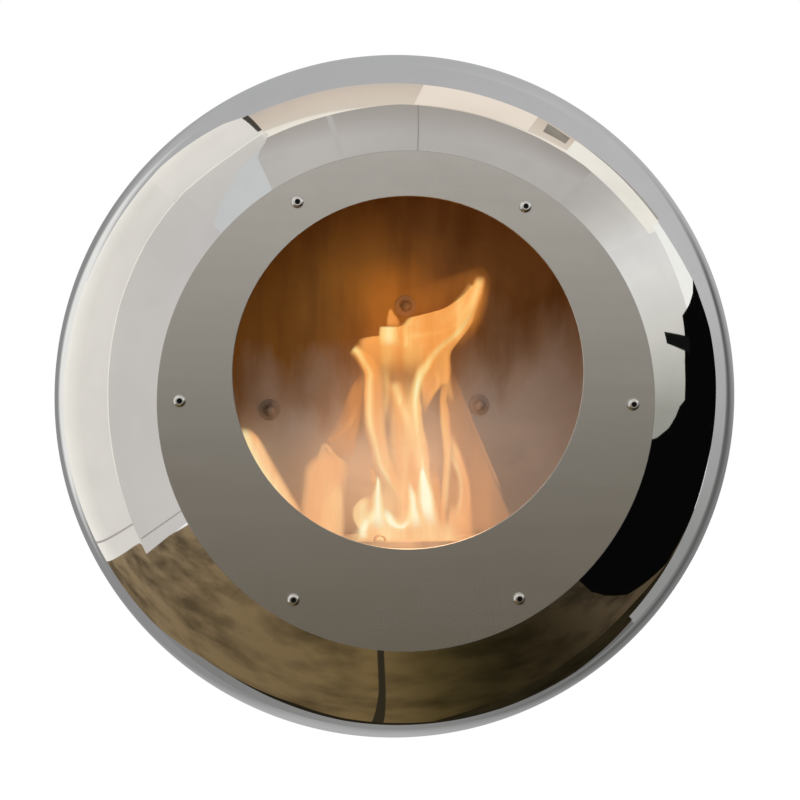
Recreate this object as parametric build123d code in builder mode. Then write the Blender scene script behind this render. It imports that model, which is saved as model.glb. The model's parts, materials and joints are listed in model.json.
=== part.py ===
from build123d import *

import os
from dataclasses import dataclass
from math import asin, atan, cos, degrees, radians, sin, sqrt, tan

# Wall-hung round ethanol fireplace: a spun steel shell in two halves, closed in front by a flat
# ring with an off-centre opening, hung on a wall plate, with a lift-out burner inside.
# Millimetres. The wall is the plane y = 0, the front faces -Y, Z is up, and the origin is the
# middle of the wall plate's screw pattern, which lies on the axis of the shell.
# A depth is a distance in front of the wall, so y = -depth.

# Shell
SHELL_RADIUS = 300.0
SHELL_WALL = 2.0
EQUATOR_DEPTH = 182.0
FRONT_RISE = 93.0
BACK_RISE = 230.0
BACK_GAP = 14.0
BACK_BEND = 12.0
SEAM_BEHIND_EQUATOR = 22.0
SEAM_GAP = 0.4

# Joining band inside the seam
BAND_WALL = 1.5
BAND_OVERLAP = 18.0
BAND_CLEARANCE = 0.3
BAND_SCREW_COUNT = 6
BAND_SCREW_BEHIND_SEAM = 9.0

# Front ring: a land of plate lies outside and inside the circle of its screws
FASCIA_FIXING_RADIUS = 192.0
FASCIA_LAND = 19.0
FASCIA_SCREW_COUNT = 6
FASCIA_THICKNESS = 2.0
FASCIA_EDGE_BREAK = 0.4
OPENING_RISE = 24.5
FLANGE_COVER = 2.0

# Wall plate
SHEET = 2.5
PLATE_WIDTH = 280.0
PLATE_LOWER_EDGE = 105.0
PLATE_CORNER = 12.0
WALL_HOLE_SPACING_X = 240.0
WALL_HOLE_SPACING_Z = 170.0
WALL_HOLE_RADIUS = 3.5
WINDOW_WIDTH = 190.0
WINDOW_HEIGHT = 130.0
WINDOW_CORNER = 15.0
WINDOW_DROP = 4.0
JOGGLE_START = 98.0
JOGGLE_DEPTH = 6.0
LIP_HEIGHT = 16.0

# Hanger rail on the back of the shell
HANGER_WIDTH = 240.0
HANGER_FLANGE_DROP = 36.0
HOOK_LENGTH = 15.0
HOOK_CLEARANCE = 0.3
SHEET_BEND = 3.0
RIVET_PITCH = 66.0
RIVET_COUNT = 4
RIVET_DROP = 26.0
HANGER_RIVET_RADIUS = 2.4

# Rubber bumpers at the foot of the back
BUMPER_ANGLE = 55.0
BUMPER_INSET = 21.8
BUMPER_RADIUS = 13.0
BUMPER_TAPER = 2.0
BUMPER_RECESS = 6.0
BUMPER_RECESS_GAP = 0.8

# Heat shield
SHIELD_CLEARANCE = 11.7
SHIELD_SHEET = 1.5
SHIELD_STANDOFF = 34.0
SHIELD_EDGE_DEPTH = 8.0
SHIELD_EDGE_RADIUS = 3.0
SHIELD_TOP_STUD_X = 17.5
SHIELD_TOP_STUD_Z = 83.0
SHIELD_LEFT_STUD_X = -110.5
SHIELD_LEFT_STUD_Z = -17.0
SHIELD_RIGHT_STUD_X = 89.5
SHIELD_RIGHT_STUD_Z = -10.5
SPACER_WALL = 3.7

# Burner
BURNER_LENGTH = 220.0
BURNER_WIDTH = 104.0
BURNER_HEIGHT = 60.0
BURNER_CORNER = 10.0
BURNER_SHEET = 1.5
BURNER_RISE = 92.0
BURNER_CENTRE_DEPTH = 121.0
BURNER_FOOT_RADIUS = 3.0
SKIRT_DEPTH = 8.0
SKIRT_WALL = 1.2
SKIRT_CLEARANCE = 0.4
SLOT_LENGTH = 165.0
SLOT_WIDTH = 30.0
SLOT_CORNER = 6.0
SLOT_BACK_SHIFT = 8.0
COLLAR_DEPTH = 6.0
WOOL_HEIGHT = 41.0
WOOL_CLEARANCE = 1.0
GAUZE_THICKNESS = 0.8
GAUZE_SPACING = 9.0
GAUZE_HOLE = 6.0
GAUZE_MARGIN = 5.0

# Damper and its rails
DAMPER_THICKNESS = 1.5
DAMPER_END_COVER = 8.0
DAMPER_SIDE_COVER = 6.0
DAMPER_GAP = 0.2
DAMPER_LIP_HEIGHT = 4.0
DAMPER_LIP_GAP = 2.0
DAMPER_CORNER = 2.0
DAMPER_OPEN_GAP = 1.5
RAIL_SHEET = 1.2
RAIL_HOLD = 4.0
RAIL_FOOT = 11.0
RAIL_SIDE_CLEARANCE = 0.5
RAIL_RIVET_RADIUS = 1.6
RAIL_RIVET_INSET = 14.0
PULL_SPAN = 12.0
PULL_HEIGHT = 6.5
PULL_WIRE_RADIUS = 1.1
PULL_FROM_EDGE = 7.0
PULL_OFF_MIDDLE = -12.5

# Shelf and spill tray
TRAY_SHEET = 1.0
TRAY_HEIGHT = 16.0
TRAY_CLEARANCE = 3.0
TRAY_CORNER = 8.0
SHELF_SHEET = 2.0
SHELF_CLEARANCE = 0.5
SHELF_BACK_HEIGHT = 48.0
SHELF_FRONT_HEIGHT = 12.0
SHELF_SCREW_X = 60.0
SHELF_SCREW_LOW = 18.0
SHELF_SCREW_RISE = 20.0
SHELF_SLOT_COUNT = 5
SHELF_SLOT_PITCH = 38.0
SHELF_SLOT_LENGTH = 70.0
SHELF_SLOT_WIDTH = 14.0


@dataclass(frozen=True)
class Metric:
    """One size of metric fastener."""

    shank: float
    head: float
    head_height: float
    key: float
    nut: float
    nut_height: float
    clearance: float


M4 = Metric(shank=2.0, head=3.8, head_height=2.2, key=2.5, nut=7.0, nut_height=3.2, clearance=0.25)
M5 = Metric(shank=2.5, head=4.75, head_height=2.75, key=3.0, nut=8.0, nut_height=4.0, clearance=0.25)
M6 = Metric(shank=3.0, head=5.25, head_height=3.3, key=4.0, nut=10.0, nut_height=5.0, clearance=0.3)
THREAD_GAP = 0.05
NUT_RUN_OUT = 3.0
WASHER_RADIUS = 10.0
WASHER_THICKNESS = 1.6
CAP_NUT_HEX = 5.5
CAP_NUT_HEIGHT = 11.0
CAP_NUT_BORE = 8.0
CAP_NUT_SPARE = 1.0
CAP_WALL = 0.25
CAP_ROUNDING = 0.95
WASHER_EDGE_BREAK = 0.4


def facing_front(depth):
    """Plane at a depth, seen from the room: local x is X and local y is Z."""
    return Plane.XZ.offset(depth)


def facing_wall(depth):
    """Plane at a depth, seen from the wall: local x is -X and local y is Z."""
    return Plane(origin=(0, -depth, 0), x_dir=(-1, 0, 0), z_dir=(0, 1, 0))


def angle_at(rise, distance):
    """Parameter angle, in degrees, of an ellipse's point at a distance from its widest circle."""
    return degrees(asin(distance / rise))


def button_screws(seat, places, size, length):
    """Domed socket screws with their heads on the seat plane and their shanks behind it."""
    outward = Axis(seat.origin, seat.z_dir)
    with BuildPart() as screws:
        with BuildSketch(seat):
            with Locations(*places):
                Circle(size.head)
        extrude(amount=size.head_height)
        fillet(screws.edges().group_by(outward)[-1], radius=0.75 * size.head_height)
        with BuildSketch(seat.offset(size.head_height)):
            with Locations(*places):
                RegularPolygon(radius=size.key / 2, side_count=6, major_radius=False)
        extrude(amount=-0.6 * size.head_height, mode=Mode.SUBTRACT)
        with BuildSketch(seat):
            with Locations(*places):
                Circle(size.shank - THREAD_GAP)
        extrude(amount=-length)
    return screws.part


def hex_nuts(seat, places, size):
    """Hexagon nuts standing on the seat plane."""
    with BuildPart() as nuts:
        with BuildSketch(seat):
            with Locations(*places):
                RegularPolygon(radius=size.nut / 2, side_count=6, major_radius=False)
                Circle(size.shank, mode=Mode.SUBTRACT)
        extrude(amount=size.nut_height)
    return nuts.part


def blind_rivets(seat, places, shank, grip):
    """Blind rivets: a domed head on the seat plane and a set bulb behind the grip."""
    outward = Axis(seat.origin, seat.z_dir)
    head_height = 0.55 * shank
    bulb = 1.45 * shank
    with BuildPart() as rivets:
        with BuildSketch(seat):
            with Locations(*places):
                Circle(1.9 * shank)
        extrude(amount=head_height)
        chamfer(rivets.edges().group_by(outward)[-1], length=0.6 * head_height)
        with BuildSketch(seat):
            with Locations(*places):
                Circle(shank - THREAD_GAP)
        extrude(amount=-grip)
        with BuildSketch(seat.offset(-grip)):
            with Locations(*places):
                Circle(bulb)
        extrude(amount=-1.6 * shank)
        chamfer(rivets.edges().group_by(outward)[0], length=0.4 * shank)
    return rivets.part


def save(part, name):
    """Label a finished piece and write it to its own file."""
    part.label = name
    export_step(part, f"parts/{name}.step")


os.makedirs("parts", exist_ok=True)

# Sizes of the ring and the shell that follow from the driving dimensions
fascia_radius = FASCIA_FIXING_RADIUS + FASCIA_LAND
opening_radius = FASCIA_FIXING_RADIUS - FASCIA_LAND - OPENING_RISE
face_depth = EQUATOR_DEPTH + FRONT_RISE * sqrt(1 - (fascia_radius / SHELL_RADIUS) ** 2)
flange_back = face_depth - SHELL_WALL
fascia_front = face_depth + FASCIA_THICKNESS
flange_radius = opening_radius + OPENING_RISE + FLANGE_COVER
inner_radius = SHELL_RADIUS - SHELL_WALL
inner_front_rise = FRONT_RISE - SHELL_WALL
inner_back_rise = BACK_RISE - SHELL_WALL
back_inside = BACK_GAP + SHELL_WALL
centre = (0, -EQUATOR_DEPTH)

# Where the four ellipses of the shell's section start and stop
outer_face_angle = angle_at(FRONT_RISE, face_depth - EQUATOR_DEPTH)
inner_face_angle = angle_at(inner_front_rise, flange_back - EQUATOR_DEPTH)
outer_seam_angle = angle_at(BACK_RISE, SEAM_BEHIND_EQUATOR)
inner_seam_angle = angle_at(inner_back_rise, SEAM_BEHIND_EQUATOR)
rim_distance = SEAM_BEHIND_EQUATOR + SEAM_GAP
outer_rim_angle = angle_at(BACK_RISE, rim_distance)
inner_rim_angle = angle_at(inner_back_rise, rim_distance)
outer_back_angle = angle_at(BACK_RISE, EQUATOR_DEPTH - BACK_GAP)
inner_back_angle = angle_at(inner_back_rise, EQUATOR_DEPTH - back_inside)

# Band screws stand square to the shell, a little behind the seam
band_screw_distance = SEAM_BEHIND_EQUATOR + BAND_SCREW_BEHIND_SEAM
band_screw_angle = radians(angle_at(BACK_RISE, band_screw_distance))
band_screw_seat = Plane(
    origin=(SHELL_RADIUS * cos(band_screw_angle), 0, EQUATOR_DEPTH - band_screw_distance),
    z_dir=(cos(band_screw_angle) / SHELL_RADIUS, 0, -sin(band_screw_angle) / BACK_RISE),
)
band_screw_length = SHELL_WALL + BAND_CLEARANCE + BAND_WALL + M4.nut_height + NUT_RUN_OUT

with BuildPart() as band_drill:
    with BuildSketch(band_screw_seat.offset(M4.head_height)):
        Circle(M4.shank + M4.clearance)
    extrude(amount=-2 * band_screw_length)

# Front shell: the mirror dome, with a flat flange turned in behind the ring
with BuildPart(Plane.XZ) as front_shell:
    with BuildSketch(Plane.XY):
        with BuildLine():
            EllipticalCenterArc(
                centre, SHELL_RADIUS, FRONT_RISE, -outer_face_angle, arc_size=outer_face_angle
            )
            outer_skirt = EllipticalCenterArc(
                centre, SHELL_RADIUS, BACK_RISE, 0, arc_size=outer_seam_angle
            )
            inner_skirt = EllipticalCenterArc(
                centre, inner_radius, inner_back_rise, 0, arc_size=inner_seam_angle
            )
            inner_dome = EllipticalCenterArc(
                centre, inner_radius, inner_front_rise, -inner_face_angle, arc_size=inner_face_angle
            )
            Line(outer_skirt @ 1, inner_skirt @ 1)
            Polyline(
                inner_dome @ 0,
                (flange_radius, -flange_back),
                (flange_radius, -face_depth),
                (fascia_radius, -face_depth),
            )
        make_face()
    revolve(axis=Axis.Y)
    with PolarLocations(FASCIA_FIXING_RADIUS, FASCIA_SCREW_COUNT):
        Hole(M6.shank + M6.clearance)
save(front_shell.part, "front_shell")

# Back shell: a deep spun bowl with a flat bottom that faces the wall
hanger_top = JOGGLE_START + JOGGLE_DEPTH + LIP_HEIGHT
rivet_height = hanger_top + SHEET - RIVET_DROP
bumper_circle = SHELL_RADIUS * cos(radians(outer_back_angle)) - BUMPER_INSET
bumper_places = [
    (side * bumper_circle * cos(radians(BUMPER_ANGLE)), -bumper_circle * sin(radians(BUMPER_ANGLE)))
    for side in (-1, 1)
]
rivet_places = [
    ((i - (RIVET_COUNT - 1) / 2) * RIVET_PITCH, rivet_height) for i in range(RIVET_COUNT)
]
with BuildPart(Plane.XZ) as back_shell:
    with BuildSketch(Plane.XY):
        with BuildLine():
            outer_bowl = EllipticalCenterArc(
                centre,
                SHELL_RADIUS,
                BACK_RISE,
                outer_rim_angle,
                arc_size=outer_back_angle - outer_rim_angle,
            )
            inner_bowl = EllipticalCenterArc(
                centre,
                inner_radius,
                inner_back_rise,
                inner_rim_angle,
                arc_size=inner_back_angle - inner_rim_angle,
            )
            Line(outer_bowl @ 0, inner_bowl @ 0)
            Polyline(outer_bowl @ 1, (0, -BACK_GAP), (0, -back_inside), inner_bowl @ 1)
        make_face()
    revolve(axis=Axis.Y)
    bend = back_shell.edges().filter_by(GeomType.CIRCLE).filter_by_position(
        Axis.Y, -BACK_GAP - 0.1, -BACK_GAP + 0.1
    )
    fillet(bend, radius=BACK_BEND)
    inner_bend = back_shell.edges().filter_by(GeomType.CIRCLE).filter_by_position(
        Axis.Y, -back_inside - 0.1, -back_inside + 0.1
    )
    fillet(inner_bend.sort_by(SortBy.RADIUS)[-1], radius=BACK_BEND - SHELL_WALL)
    with Locations(*rivet_places):
        Hole(HANGER_RIVET_RADIUS)
    with Locations(*bumper_places):
        Hole(M5.shank + M5.clearance)
    with PolarLocations(0, BAND_SCREW_COUNT):
        add(band_drill.part, mode=Mode.SUBTRACT)
save(back_shell.part, "back_shell")

# Joining band: a hoop inside the seam that the back shell is screwed to
band_radius = inner_radius - BAND_CLEARANCE
band_rise = inner_back_rise - BAND_CLEARANCE
band_front_distance = SEAM_BEHIND_EQUATOR - BAND_OVERLAP
band_back_distance = SEAM_BEHIND_EQUATOR + BAND_OVERLAP
band_inner_radius = band_radius - BAND_WALL
band_inner_rise = band_rise - BAND_WALL
band_start = angle_at(band_rise, band_front_distance)
band_size = angle_at(band_rise, band_back_distance) - band_start
band_inner_start = angle_at(band_inner_rise, band_front_distance)
band_inner_size = angle_at(band_inner_rise, band_back_distance) - band_inner_start
with BuildPart(Plane.XZ) as joining_band:
    with BuildSketch(Plane.XY):
        with BuildLine():
            outside = EllipticalCenterArc(
                centre, band_radius, band_rise, band_start, arc_size=band_size
            )
            inside = EllipticalCenterArc(
                centre, band_inner_radius, band_inner_rise, band_inner_start, arc_size=band_inner_size
            )
            Line(outside @ 0, inside @ 0)
            Line(outside @ 1, inside @ 1)
        make_face()
    revolve(axis=Axis.Y)
    with PolarLocations(0, BAND_SCREW_COUNT):
        add(band_drill.part, mode=Mode.SUBTRACT)
save(joining_band.part, "joining_band")

one_band_screw = button_screws(band_screw_seat, [(0, 0)], M4, band_screw_length)
with BuildPart(Plane.XZ) as band_screws:
    with PolarLocations(0, BAND_SCREW_COUNT):
        add(one_band_screw)
save(band_screws.part, "band_screws")

band_inside = band_screw_seat.offset(-SHELL_WALL - BAND_CLEARANCE - BAND_WALL - THREAD_GAP)
one_band_nut = hex_nuts(Plane(origin=band_inside.origin, z_dir=-band_inside.z_dir), [(0, 0)], M4)
with BuildPart(Plane.XZ) as band_nuts:
    with PolarLocations(0, BAND_SCREW_COUNT):
        add(one_band_nut)
save(band_nuts.part, "band_nuts")

# Front ring: a flat plate whose opening sits above its middle
with BuildPart(Plane.XZ) as fascia_ring:
    with BuildSketch(facing_front(face_depth)):
        Circle(fascia_radius)
        with Locations((0, OPENING_RISE)):
            Circle(opening_radius, mode=Mode.SUBTRACT)
        with PolarLocations(FASCIA_FIXING_RADIUS, FASCIA_SCREW_COUNT):
            Circle(M6.shank + M6.clearance, mode=Mode.SUBTRACT)
    extrude(amount=FASCIA_THICKNESS)
    front_rims = fascia_ring.edges().group_by(Axis.Y)[0].sort_by(SortBy.RADIUS)[-2:]
    chamfer(front_rims, length=FASCIA_EDGE_BREAK)
save(fascia_ring.part, "fascia_ring")

screw_step = 360 / FASCIA_SCREW_COUNT
fascia_places = [
    (
        FASCIA_FIXING_RADIUS * cos(radians(i * screw_step)),
        FASCIA_FIXING_RADIUS * sin(radians(i * screw_step)),
    )
    for i in range(FASCIA_SCREW_COUNT)
]
fascia_screw_length = FASCIA_THICKNESS + SHELL_WALL + M6.nut_height + NUT_RUN_OUT
save(button_screws(facing_front(fascia_front), fascia_places, M6, fascia_screw_length), "fascia_screws")
save(hex_nuts(facing_wall(flange_back), fascia_places, M6), "fascia_nuts")

# Wall plate: flat sheet with a window, joggled forward at the top into a lip
bend_inset = SHEET * tan(radians(22.5))
joggle_end = JOGGLE_START + JOGGLE_DEPTH
lip_front = JOGGLE_DEPTH + SHEET
with BuildPart(Plane.XZ) as wall_bracket:
    with BuildSketch(Plane.YZ):
        with BuildLine():
            Polyline(
                (0, -PLATE_LOWER_EDGE),
                (0, JOGGLE_START),
                (-JOGGLE_DEPTH, joggle_end),
                (-JOGGLE_DEPTH, hanger_top),
                (-lip_front, hanger_top),
                (-lip_front, joggle_end - bend_inset),
                (-SHEET, JOGGLE_START - bend_inset),
                (-SHEET, -PLATE_LOWER_EDGE),
                close=True,
            )
        make_face()
    extrude(amount=PLATE_WIDTH / 2, both=True)
    plate_corners = wall_bracket.edges().filter_by(Axis.Y).group_by(Axis.Z)[0]
    fillet(plate_corners, radius=PLATE_CORNER)
    with BuildSketch(facing_front(0)):
        with Locations((0, -WINDOW_DROP)):
            RectangleRounded(WINDOW_WIDTH, WINDOW_HEIGHT, WINDOW_CORNER)
        with GridLocations(WALL_HOLE_SPACING_X, WALL_HOLE_SPACING_Z, 2, 2):
            Circle(WALL_HOLE_RADIUS)
    extrude(amount=SHEET, mode=Mode.SUBTRACT)
save(wall_bracket.part, "wall_bracket")

# Hanger rail: riveted to the back of the shell, its hook drops behind the wall plate's lip
hook_front = JOGGLE_DEPTH - HOOK_CLEARANCE
hook_back = hook_front - SHEET
with BuildPart(Plane.XZ) as hanger_rail:
    with BuildSketch(Plane.YZ):
        with BuildLine():
            Polyline(
                (-BACK_GAP, hanger_top - HANGER_FLANGE_DROP),
                (-BACK_GAP, hanger_top + SHEET),
                (-hook_back, hanger_top + SHEET),
                (-hook_back, hanger_top - HOOK_LENGTH),
                (-hook_front, hanger_top - HOOK_LENGTH),
                (-hook_front, hanger_top),
                (-BACK_GAP + SHEET, hanger_top),
                (-BACK_GAP + SHEET, hanger_top - HANGER_FLANGE_DROP),
                close=True,
            )
        make_face()
    extrude(amount=HANGER_WIDTH / 2, both=True)
    fillet(hanger_rail.edges().filter_by(Axis.X).group_by(Axis.Z)[-1], radius=SHEET_BEND)
    with BuildSketch(facing_front(BACK_GAP)):
        with Locations(*rivet_places):
            Circle(HANGER_RIVET_RADIUS)
    extrude(amount=-SHEET, mode=Mode.SUBTRACT)
save(hanger_rail.part, "hanger_rail")

hanger_rivets = blind_rivets(
    facing_wall(BACK_GAP - SHEET), rivet_places, HANGER_RIVET_RADIUS, SHEET + SHELL_WALL
)
save(hanger_rivets, "hanger_rivets")

# Rubber bumpers that keep the foot of the shell off the wall
bumper_slope = degrees(atan(BUMPER_TAPER / BACK_GAP))
with BuildPart(Plane.XZ) as wall_bumpers:
    with BuildSketch(facing_wall(BACK_GAP)):
        with Locations(*bumper_places):
            Circle(BUMPER_RADIUS)
    extrude(amount=BACK_GAP, taper=bumper_slope)
    with BuildSketch(facing_front(0)):
        with Locations(*bumper_places):
            Circle(M5.head + BUMPER_RECESS_GAP)
    extrude(amount=BUMPER_RECESS, mode=Mode.SUBTRACT)
    with BuildSketch(facing_front(0)):
        with Locations(*bumper_places):
            Circle(M5.shank + M5.clearance)
    extrude(amount=BACK_GAP, mode=Mode.SUBTRACT)
save(wall_bumpers.part, "wall_bumpers")

bumper_screw_length = BACK_GAP - BUMPER_RECESS + SHELL_WALL + M5.nut_height + NUT_RUN_OUT
save(button_screws(facing_wall(BUMPER_RECESS), bumper_places, M5, bumper_screw_length), "bumper_screws")
save(hex_nuts(facing_front(back_inside), bumper_places, M5), "bumper_nuts")

# Heat shield: a flat disc with a turned-back edge, held off the back shell by three spacers
shield_back = back_inside + SHIELD_STANDOFF
shield_front = shield_back + SHIELD_SHEET
shield_edge_angle = angle_at(inner_back_rise, EQUATOR_DEPTH - shield_front + SHIELD_EDGE_DEPTH)
shield_radius = inner_radius * cos(radians(shield_edge_angle)) - SHIELD_CLEARANCE
stud_places = [
    (SHIELD_TOP_STUD_X, SHIELD_TOP_STUD_Z),
    (SHIELD_LEFT_STUD_X, SHIELD_LEFT_STUD_Z),
    (SHIELD_RIGHT_STUD_X, SHIELD_RIGHT_STUD_Z),
]
burner_top_z = BURNER_RISE - shield_radius
burner_foot_z = burner_top_z - BURNER_HEIGHT
shelf_top_z = burner_foot_z - TRAY_SHEET
shelf_screw_places = [
    (side * SHELF_SCREW_X, shelf_top_z + SHELF_SCREW_LOW + row * SHELF_SCREW_RISE)
    for side in (-1, 1)
    for row in (0, 1)
]
with BuildPart(Plane.XZ) as heat_shield:
    with BuildSketch(Plane.XY):
        with BuildLine():
            Polyline(
                (0, -shield_front),
                (shield_radius, -shield_front),
                (shield_radius, -shield_front + SHIELD_EDGE_DEPTH),
                (shield_radius - SHIELD_SHEET, -shield_front + SHIELD_EDGE_DEPTH),
                (shield_radius - SHIELD_SHEET, -shield_back),
                (0, -shield_back),
                close=True,
            )
        make_face()
    revolve(axis=Axis.Y)
    shield_rim = heat_shield.edges().group_by(Axis.Y)[0].sort_by(SortBy.RADIUS)[-1]
    fillet(shield_rim, radius=SHIELD_EDGE_RADIUS)
    with Locations(*stud_places):
        Hole(M6.shank + M6.clearance)
    with Locations(*shelf_screw_places):
        Hole(M5.shank + M5.clearance)
save(heat_shield.part, "heat_shield")

with BuildPart(Plane.XZ) as shield_studs:
    with BuildSketch(facing_front(back_inside)):
        with Locations(*stud_places):
            Circle(M6.shank - THREAD_GAP)
    extrude(amount=SHIELD_STANDOFF + SHIELD_SHEET + WASHER_THICKNESS + CAP_NUT_BORE - CAP_NUT_SPARE)
save(shield_studs.part, "shield_studs")

with BuildPart(Plane.XZ) as shield_spacers:
    with BuildSketch(facing_front(back_inside)):
        with Locations(*stud_places):
            Circle(M6.shank + M6.clearance + SPACER_WALL)
            Circle(M6.shank + M6.clearance, mode=Mode.SUBTRACT)
    extrude(amount=SHIELD_STANDOFF)
save(shield_spacers.part, "shield_spacers")

with BuildPart(Plane.XZ) as shield_washers:
    with BuildSketch(facing_front(shield_front)):
        with Locations(*stud_places):
            Circle(WASHER_RADIUS)
            Circle(M6.shank + M6.clearance, mode=Mode.SUBTRACT)
    extrude(amount=WASHER_THICKNESS)
    chamfer(
        shield_washers.edges().group_by(Axis.Y)[0].filter_by(
            lambda edge: edge.radius > M6.shank + M6.clearance + THREAD_GAP
        ),
        length=WASHER_EDGE_BREAK,
    )
save(shield_washers.part, "shield_washers")

cap_seat = facing_front(shield_front + WASHER_THICKNESS)
cap_radius = M6.nut / 2 - CAP_WALL
with BuildPart() as shield_cap_nuts:
    with BuildSketch(cap_seat):
        with Locations(*stud_places):
            RegularPolygon(radius=M6.nut / 2, side_count=6, major_radius=False)
    extrude(amount=CAP_NUT_HEX)
    with BuildSketch(cap_seat.offset(CAP_NUT_HEX)):
        with Locations(*stud_places):
            Circle(cap_radius)
    extrude(amount=CAP_NUT_HEIGHT - CAP_NUT_HEX)
    fillet(shield_cap_nuts.edges().group_by(Axis.Y)[0], radius=CAP_ROUNDING * cap_radius)
    with BuildSketch(cap_seat):
        with Locations(*stud_places):
            Circle(M6.shank)
    extrude(amount=CAP_NUT_BORE, mode=Mode.SUBTRACT)
save(shield_cap_nuts.part, "shield_cap_nuts")

# Spill tray: a shallow pan under the burner
tray_length = BURNER_LENGTH + 2 * (TRAY_CLEARANCE + TRAY_SHEET)
tray_width = BURNER_WIDTH + 2 * (TRAY_CLEARANCE + TRAY_SHEET)
burner_middle = (0, -BURNER_CENTRE_DEPTH)
with BuildPart() as spill_tray:
    with BuildSketch(Plane.XY.offset(shelf_top_z)):
        with Locations(burner_middle):
            RectangleRounded(tray_length, tray_width, TRAY_CORNER)
    extrude(amount=TRAY_HEIGHT)
    with BuildSketch(Plane.XY.offset(burner_foot_z)):
        with Locations(burner_middle):
            RectangleRounded(
                tray_length - 2 * TRAY_SHEET, tray_width - 2 * TRAY_SHEET, TRAY_CORNER - TRAY_SHEET
            )
    extrude(amount=TRAY_HEIGHT, mode=Mode.SUBTRACT)
save(spill_tray.part, "spill_tray")

# Shelf: folded sheet screwed to the heat shield, with sloping cheeks and a low front edge
cheek_inside = tray_length / 2 + SHELF_CLEARANCE
shelf_front = BURNER_CENTRE_DEPTH + tray_width / 2 + SHELF_CLEARANCE + SHELF_SHEET
shelf_bottom_z = shelf_top_z - SHELF_SHEET
shelf_half = cheek_inside + SHELF_SHEET
with BuildPart() as burner_shelf:
    with BuildSketch(Plane.YZ.offset(-shelf_half)):
        with BuildLine():
            Polyline(
                (-shield_front, shelf_bottom_z),
                (-shield_front, shelf_top_z + SHELF_BACK_HEIGHT),
                (-shield_front - SHELF_BACK_HEIGHT / 4, shelf_top_z + SHELF_BACK_HEIGHT),
                (-shelf_front + SHELF_FRONT_HEIGHT, shelf_top_z + SHELF_FRONT_HEIGHT),
                (-shelf_front, shelf_top_z + SHELF_FRONT_HEIGHT),
                (-shelf_front, shelf_bottom_z),
                close=True,
            )
        make_face()
    extrude(amount=2 * shelf_half)
    with BuildSketch(Plane.YZ.offset(-cheek_inside)):
        with BuildLine():
            Polyline(
                (-shield_front - SHELF_SHEET, shelf_top_z),
                (-shield_front - SHELF_SHEET, shelf_top_z + 2 * SHELF_BACK_HEIGHT),
                (-shelf_front + SHELF_SHEET, shelf_top_z + 2 * SHELF_BACK_HEIGHT),
                (-shelf_front + SHELF_SHEET, shelf_top_z),
                close=True,
            )
        make_face()
    extrude(amount=2 * cheek_inside, mode=Mode.SUBTRACT)
    folds = burner_shelf.edges().filter_by(Axis.Y).group_by(Axis.Z)[0]
    fillet(folds, radius=SHELF_SHEET)
    with BuildSketch(facing_front(shield_front)):
        with Locations(*shelf_screw_places):
            Circle(M5.shank + M5.clearance)
    extrude(amount=SHELF_SHEET, mode=Mode.SUBTRACT)
    with BuildSketch(Plane.XY.offset(shelf_bottom_z)):
        with Locations(burner_middle):
            with GridLocations(SHELF_SLOT_PITCH, 0, SHELF_SLOT_COUNT, 1):
                SlotOverall(SHELF_SLOT_LENGTH, SHELF_SLOT_WIDTH, rotation=90)
    extrude(amount=SHELF_SHEET, mode=Mode.SUBTRACT)
save(burner_shelf.part, "burner_shelf")

shelf_screw_length = SHELF_SHEET + SHIELD_SHEET + M5.nut_height + NUT_RUN_OUT
shelf_seat = facing_front(shield_front + SHELF_SHEET)
save(button_screws(shelf_seat, shelf_screw_places, M5, shelf_screw_length), "shelf_screws")
save(hex_nuts(facing_wall(shield_back), shelf_screw_places, M5), "shelf_nuts")

# Burner tank: an open welded box, closed by the top plate
tank_rim_z = burner_top_z - BURNER_SHEET
well_length = BURNER_LENGTH - 2 * BURNER_SHEET
well_width = BURNER_WIDTH - 2 * BURNER_SHEET
well_corner = BURNER_CORNER - BURNER_SHEET
with BuildPart() as burner_tank:
    with BuildSketch(Plane.XY.offset(burner_foot_z)):
        with Locations(burner_middle):
            RectangleRounded(BURNER_LENGTH, BURNER_WIDTH, BURNER_CORNER)
    extrude(amount=tank_rim_z - burner_foot_z)
    fillet(burner_tank.edges().group_by(Axis.Z)[0], radius=BURNER_FOOT_RADIUS)
    with BuildSketch(Plane.XY.offset(burner_foot_z + BURNER_SHEET)):
        with Locations(burner_middle):
            RectangleRounded(well_length, well_width, well_corner)
    extrude(amount=BURNER_HEIGHT, mode=Mode.SUBTRACT)
save(burner_tank.part, "burner_tank")

# Burner top: a plate with a skirt inside the tank and a turned-down collar round the flame slot
slot_middle = (0, -BURNER_CENTRE_DEPTH + SLOT_BACK_SHIFT)
skirt_length = well_length - 2 * SKIRT_CLEARANCE
skirt_width = well_width - 2 * SKIRT_CLEARANCE
skirt_corner = well_corner - SKIRT_CLEARANCE
slot_depth = BURNER_CENTRE_DEPTH - SLOT_BACK_SHIFT
damper_length = SLOT_LENGTH + 2 * DAMPER_END_COVER
damper_width = SLOT_WIDTH + 2 * DAMPER_SIDE_COVER
damper_travel = SLOT_WIDTH + DAMPER_SIDE_COVER + DAMPER_OPEN_GAP
damper_depth = slot_depth + damper_travel
damper_under_z = burner_top_z + DAMPER_GAP
damper_top_z = damper_under_z + DAMPER_THICKNESS
rail_web_x = damper_length / 2 + RAIL_SIDE_CLEARANCE
rail_lip_z = damper_top_z + DAMPER_GAP
rail_foot_x = rail_web_x + RAIL_FOOT
rail_rivet_x = rail_web_x + RAIL_SHEET + (RAIL_FOOT - RAIL_SHEET) / 2
rail_front = damper_depth + damper_width / 2 + DAMPER_GAP
rail_back = slot_depth - damper_width / 2 - DAMPER_GAP
rail_rivet_places = [
    (side * rail_rivet_x, -depth)
    for side in (-1, 1)
    for depth in (rail_back + RAIL_RIVET_INSET, rail_front - RAIL_RIVET_INSET)
]
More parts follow.
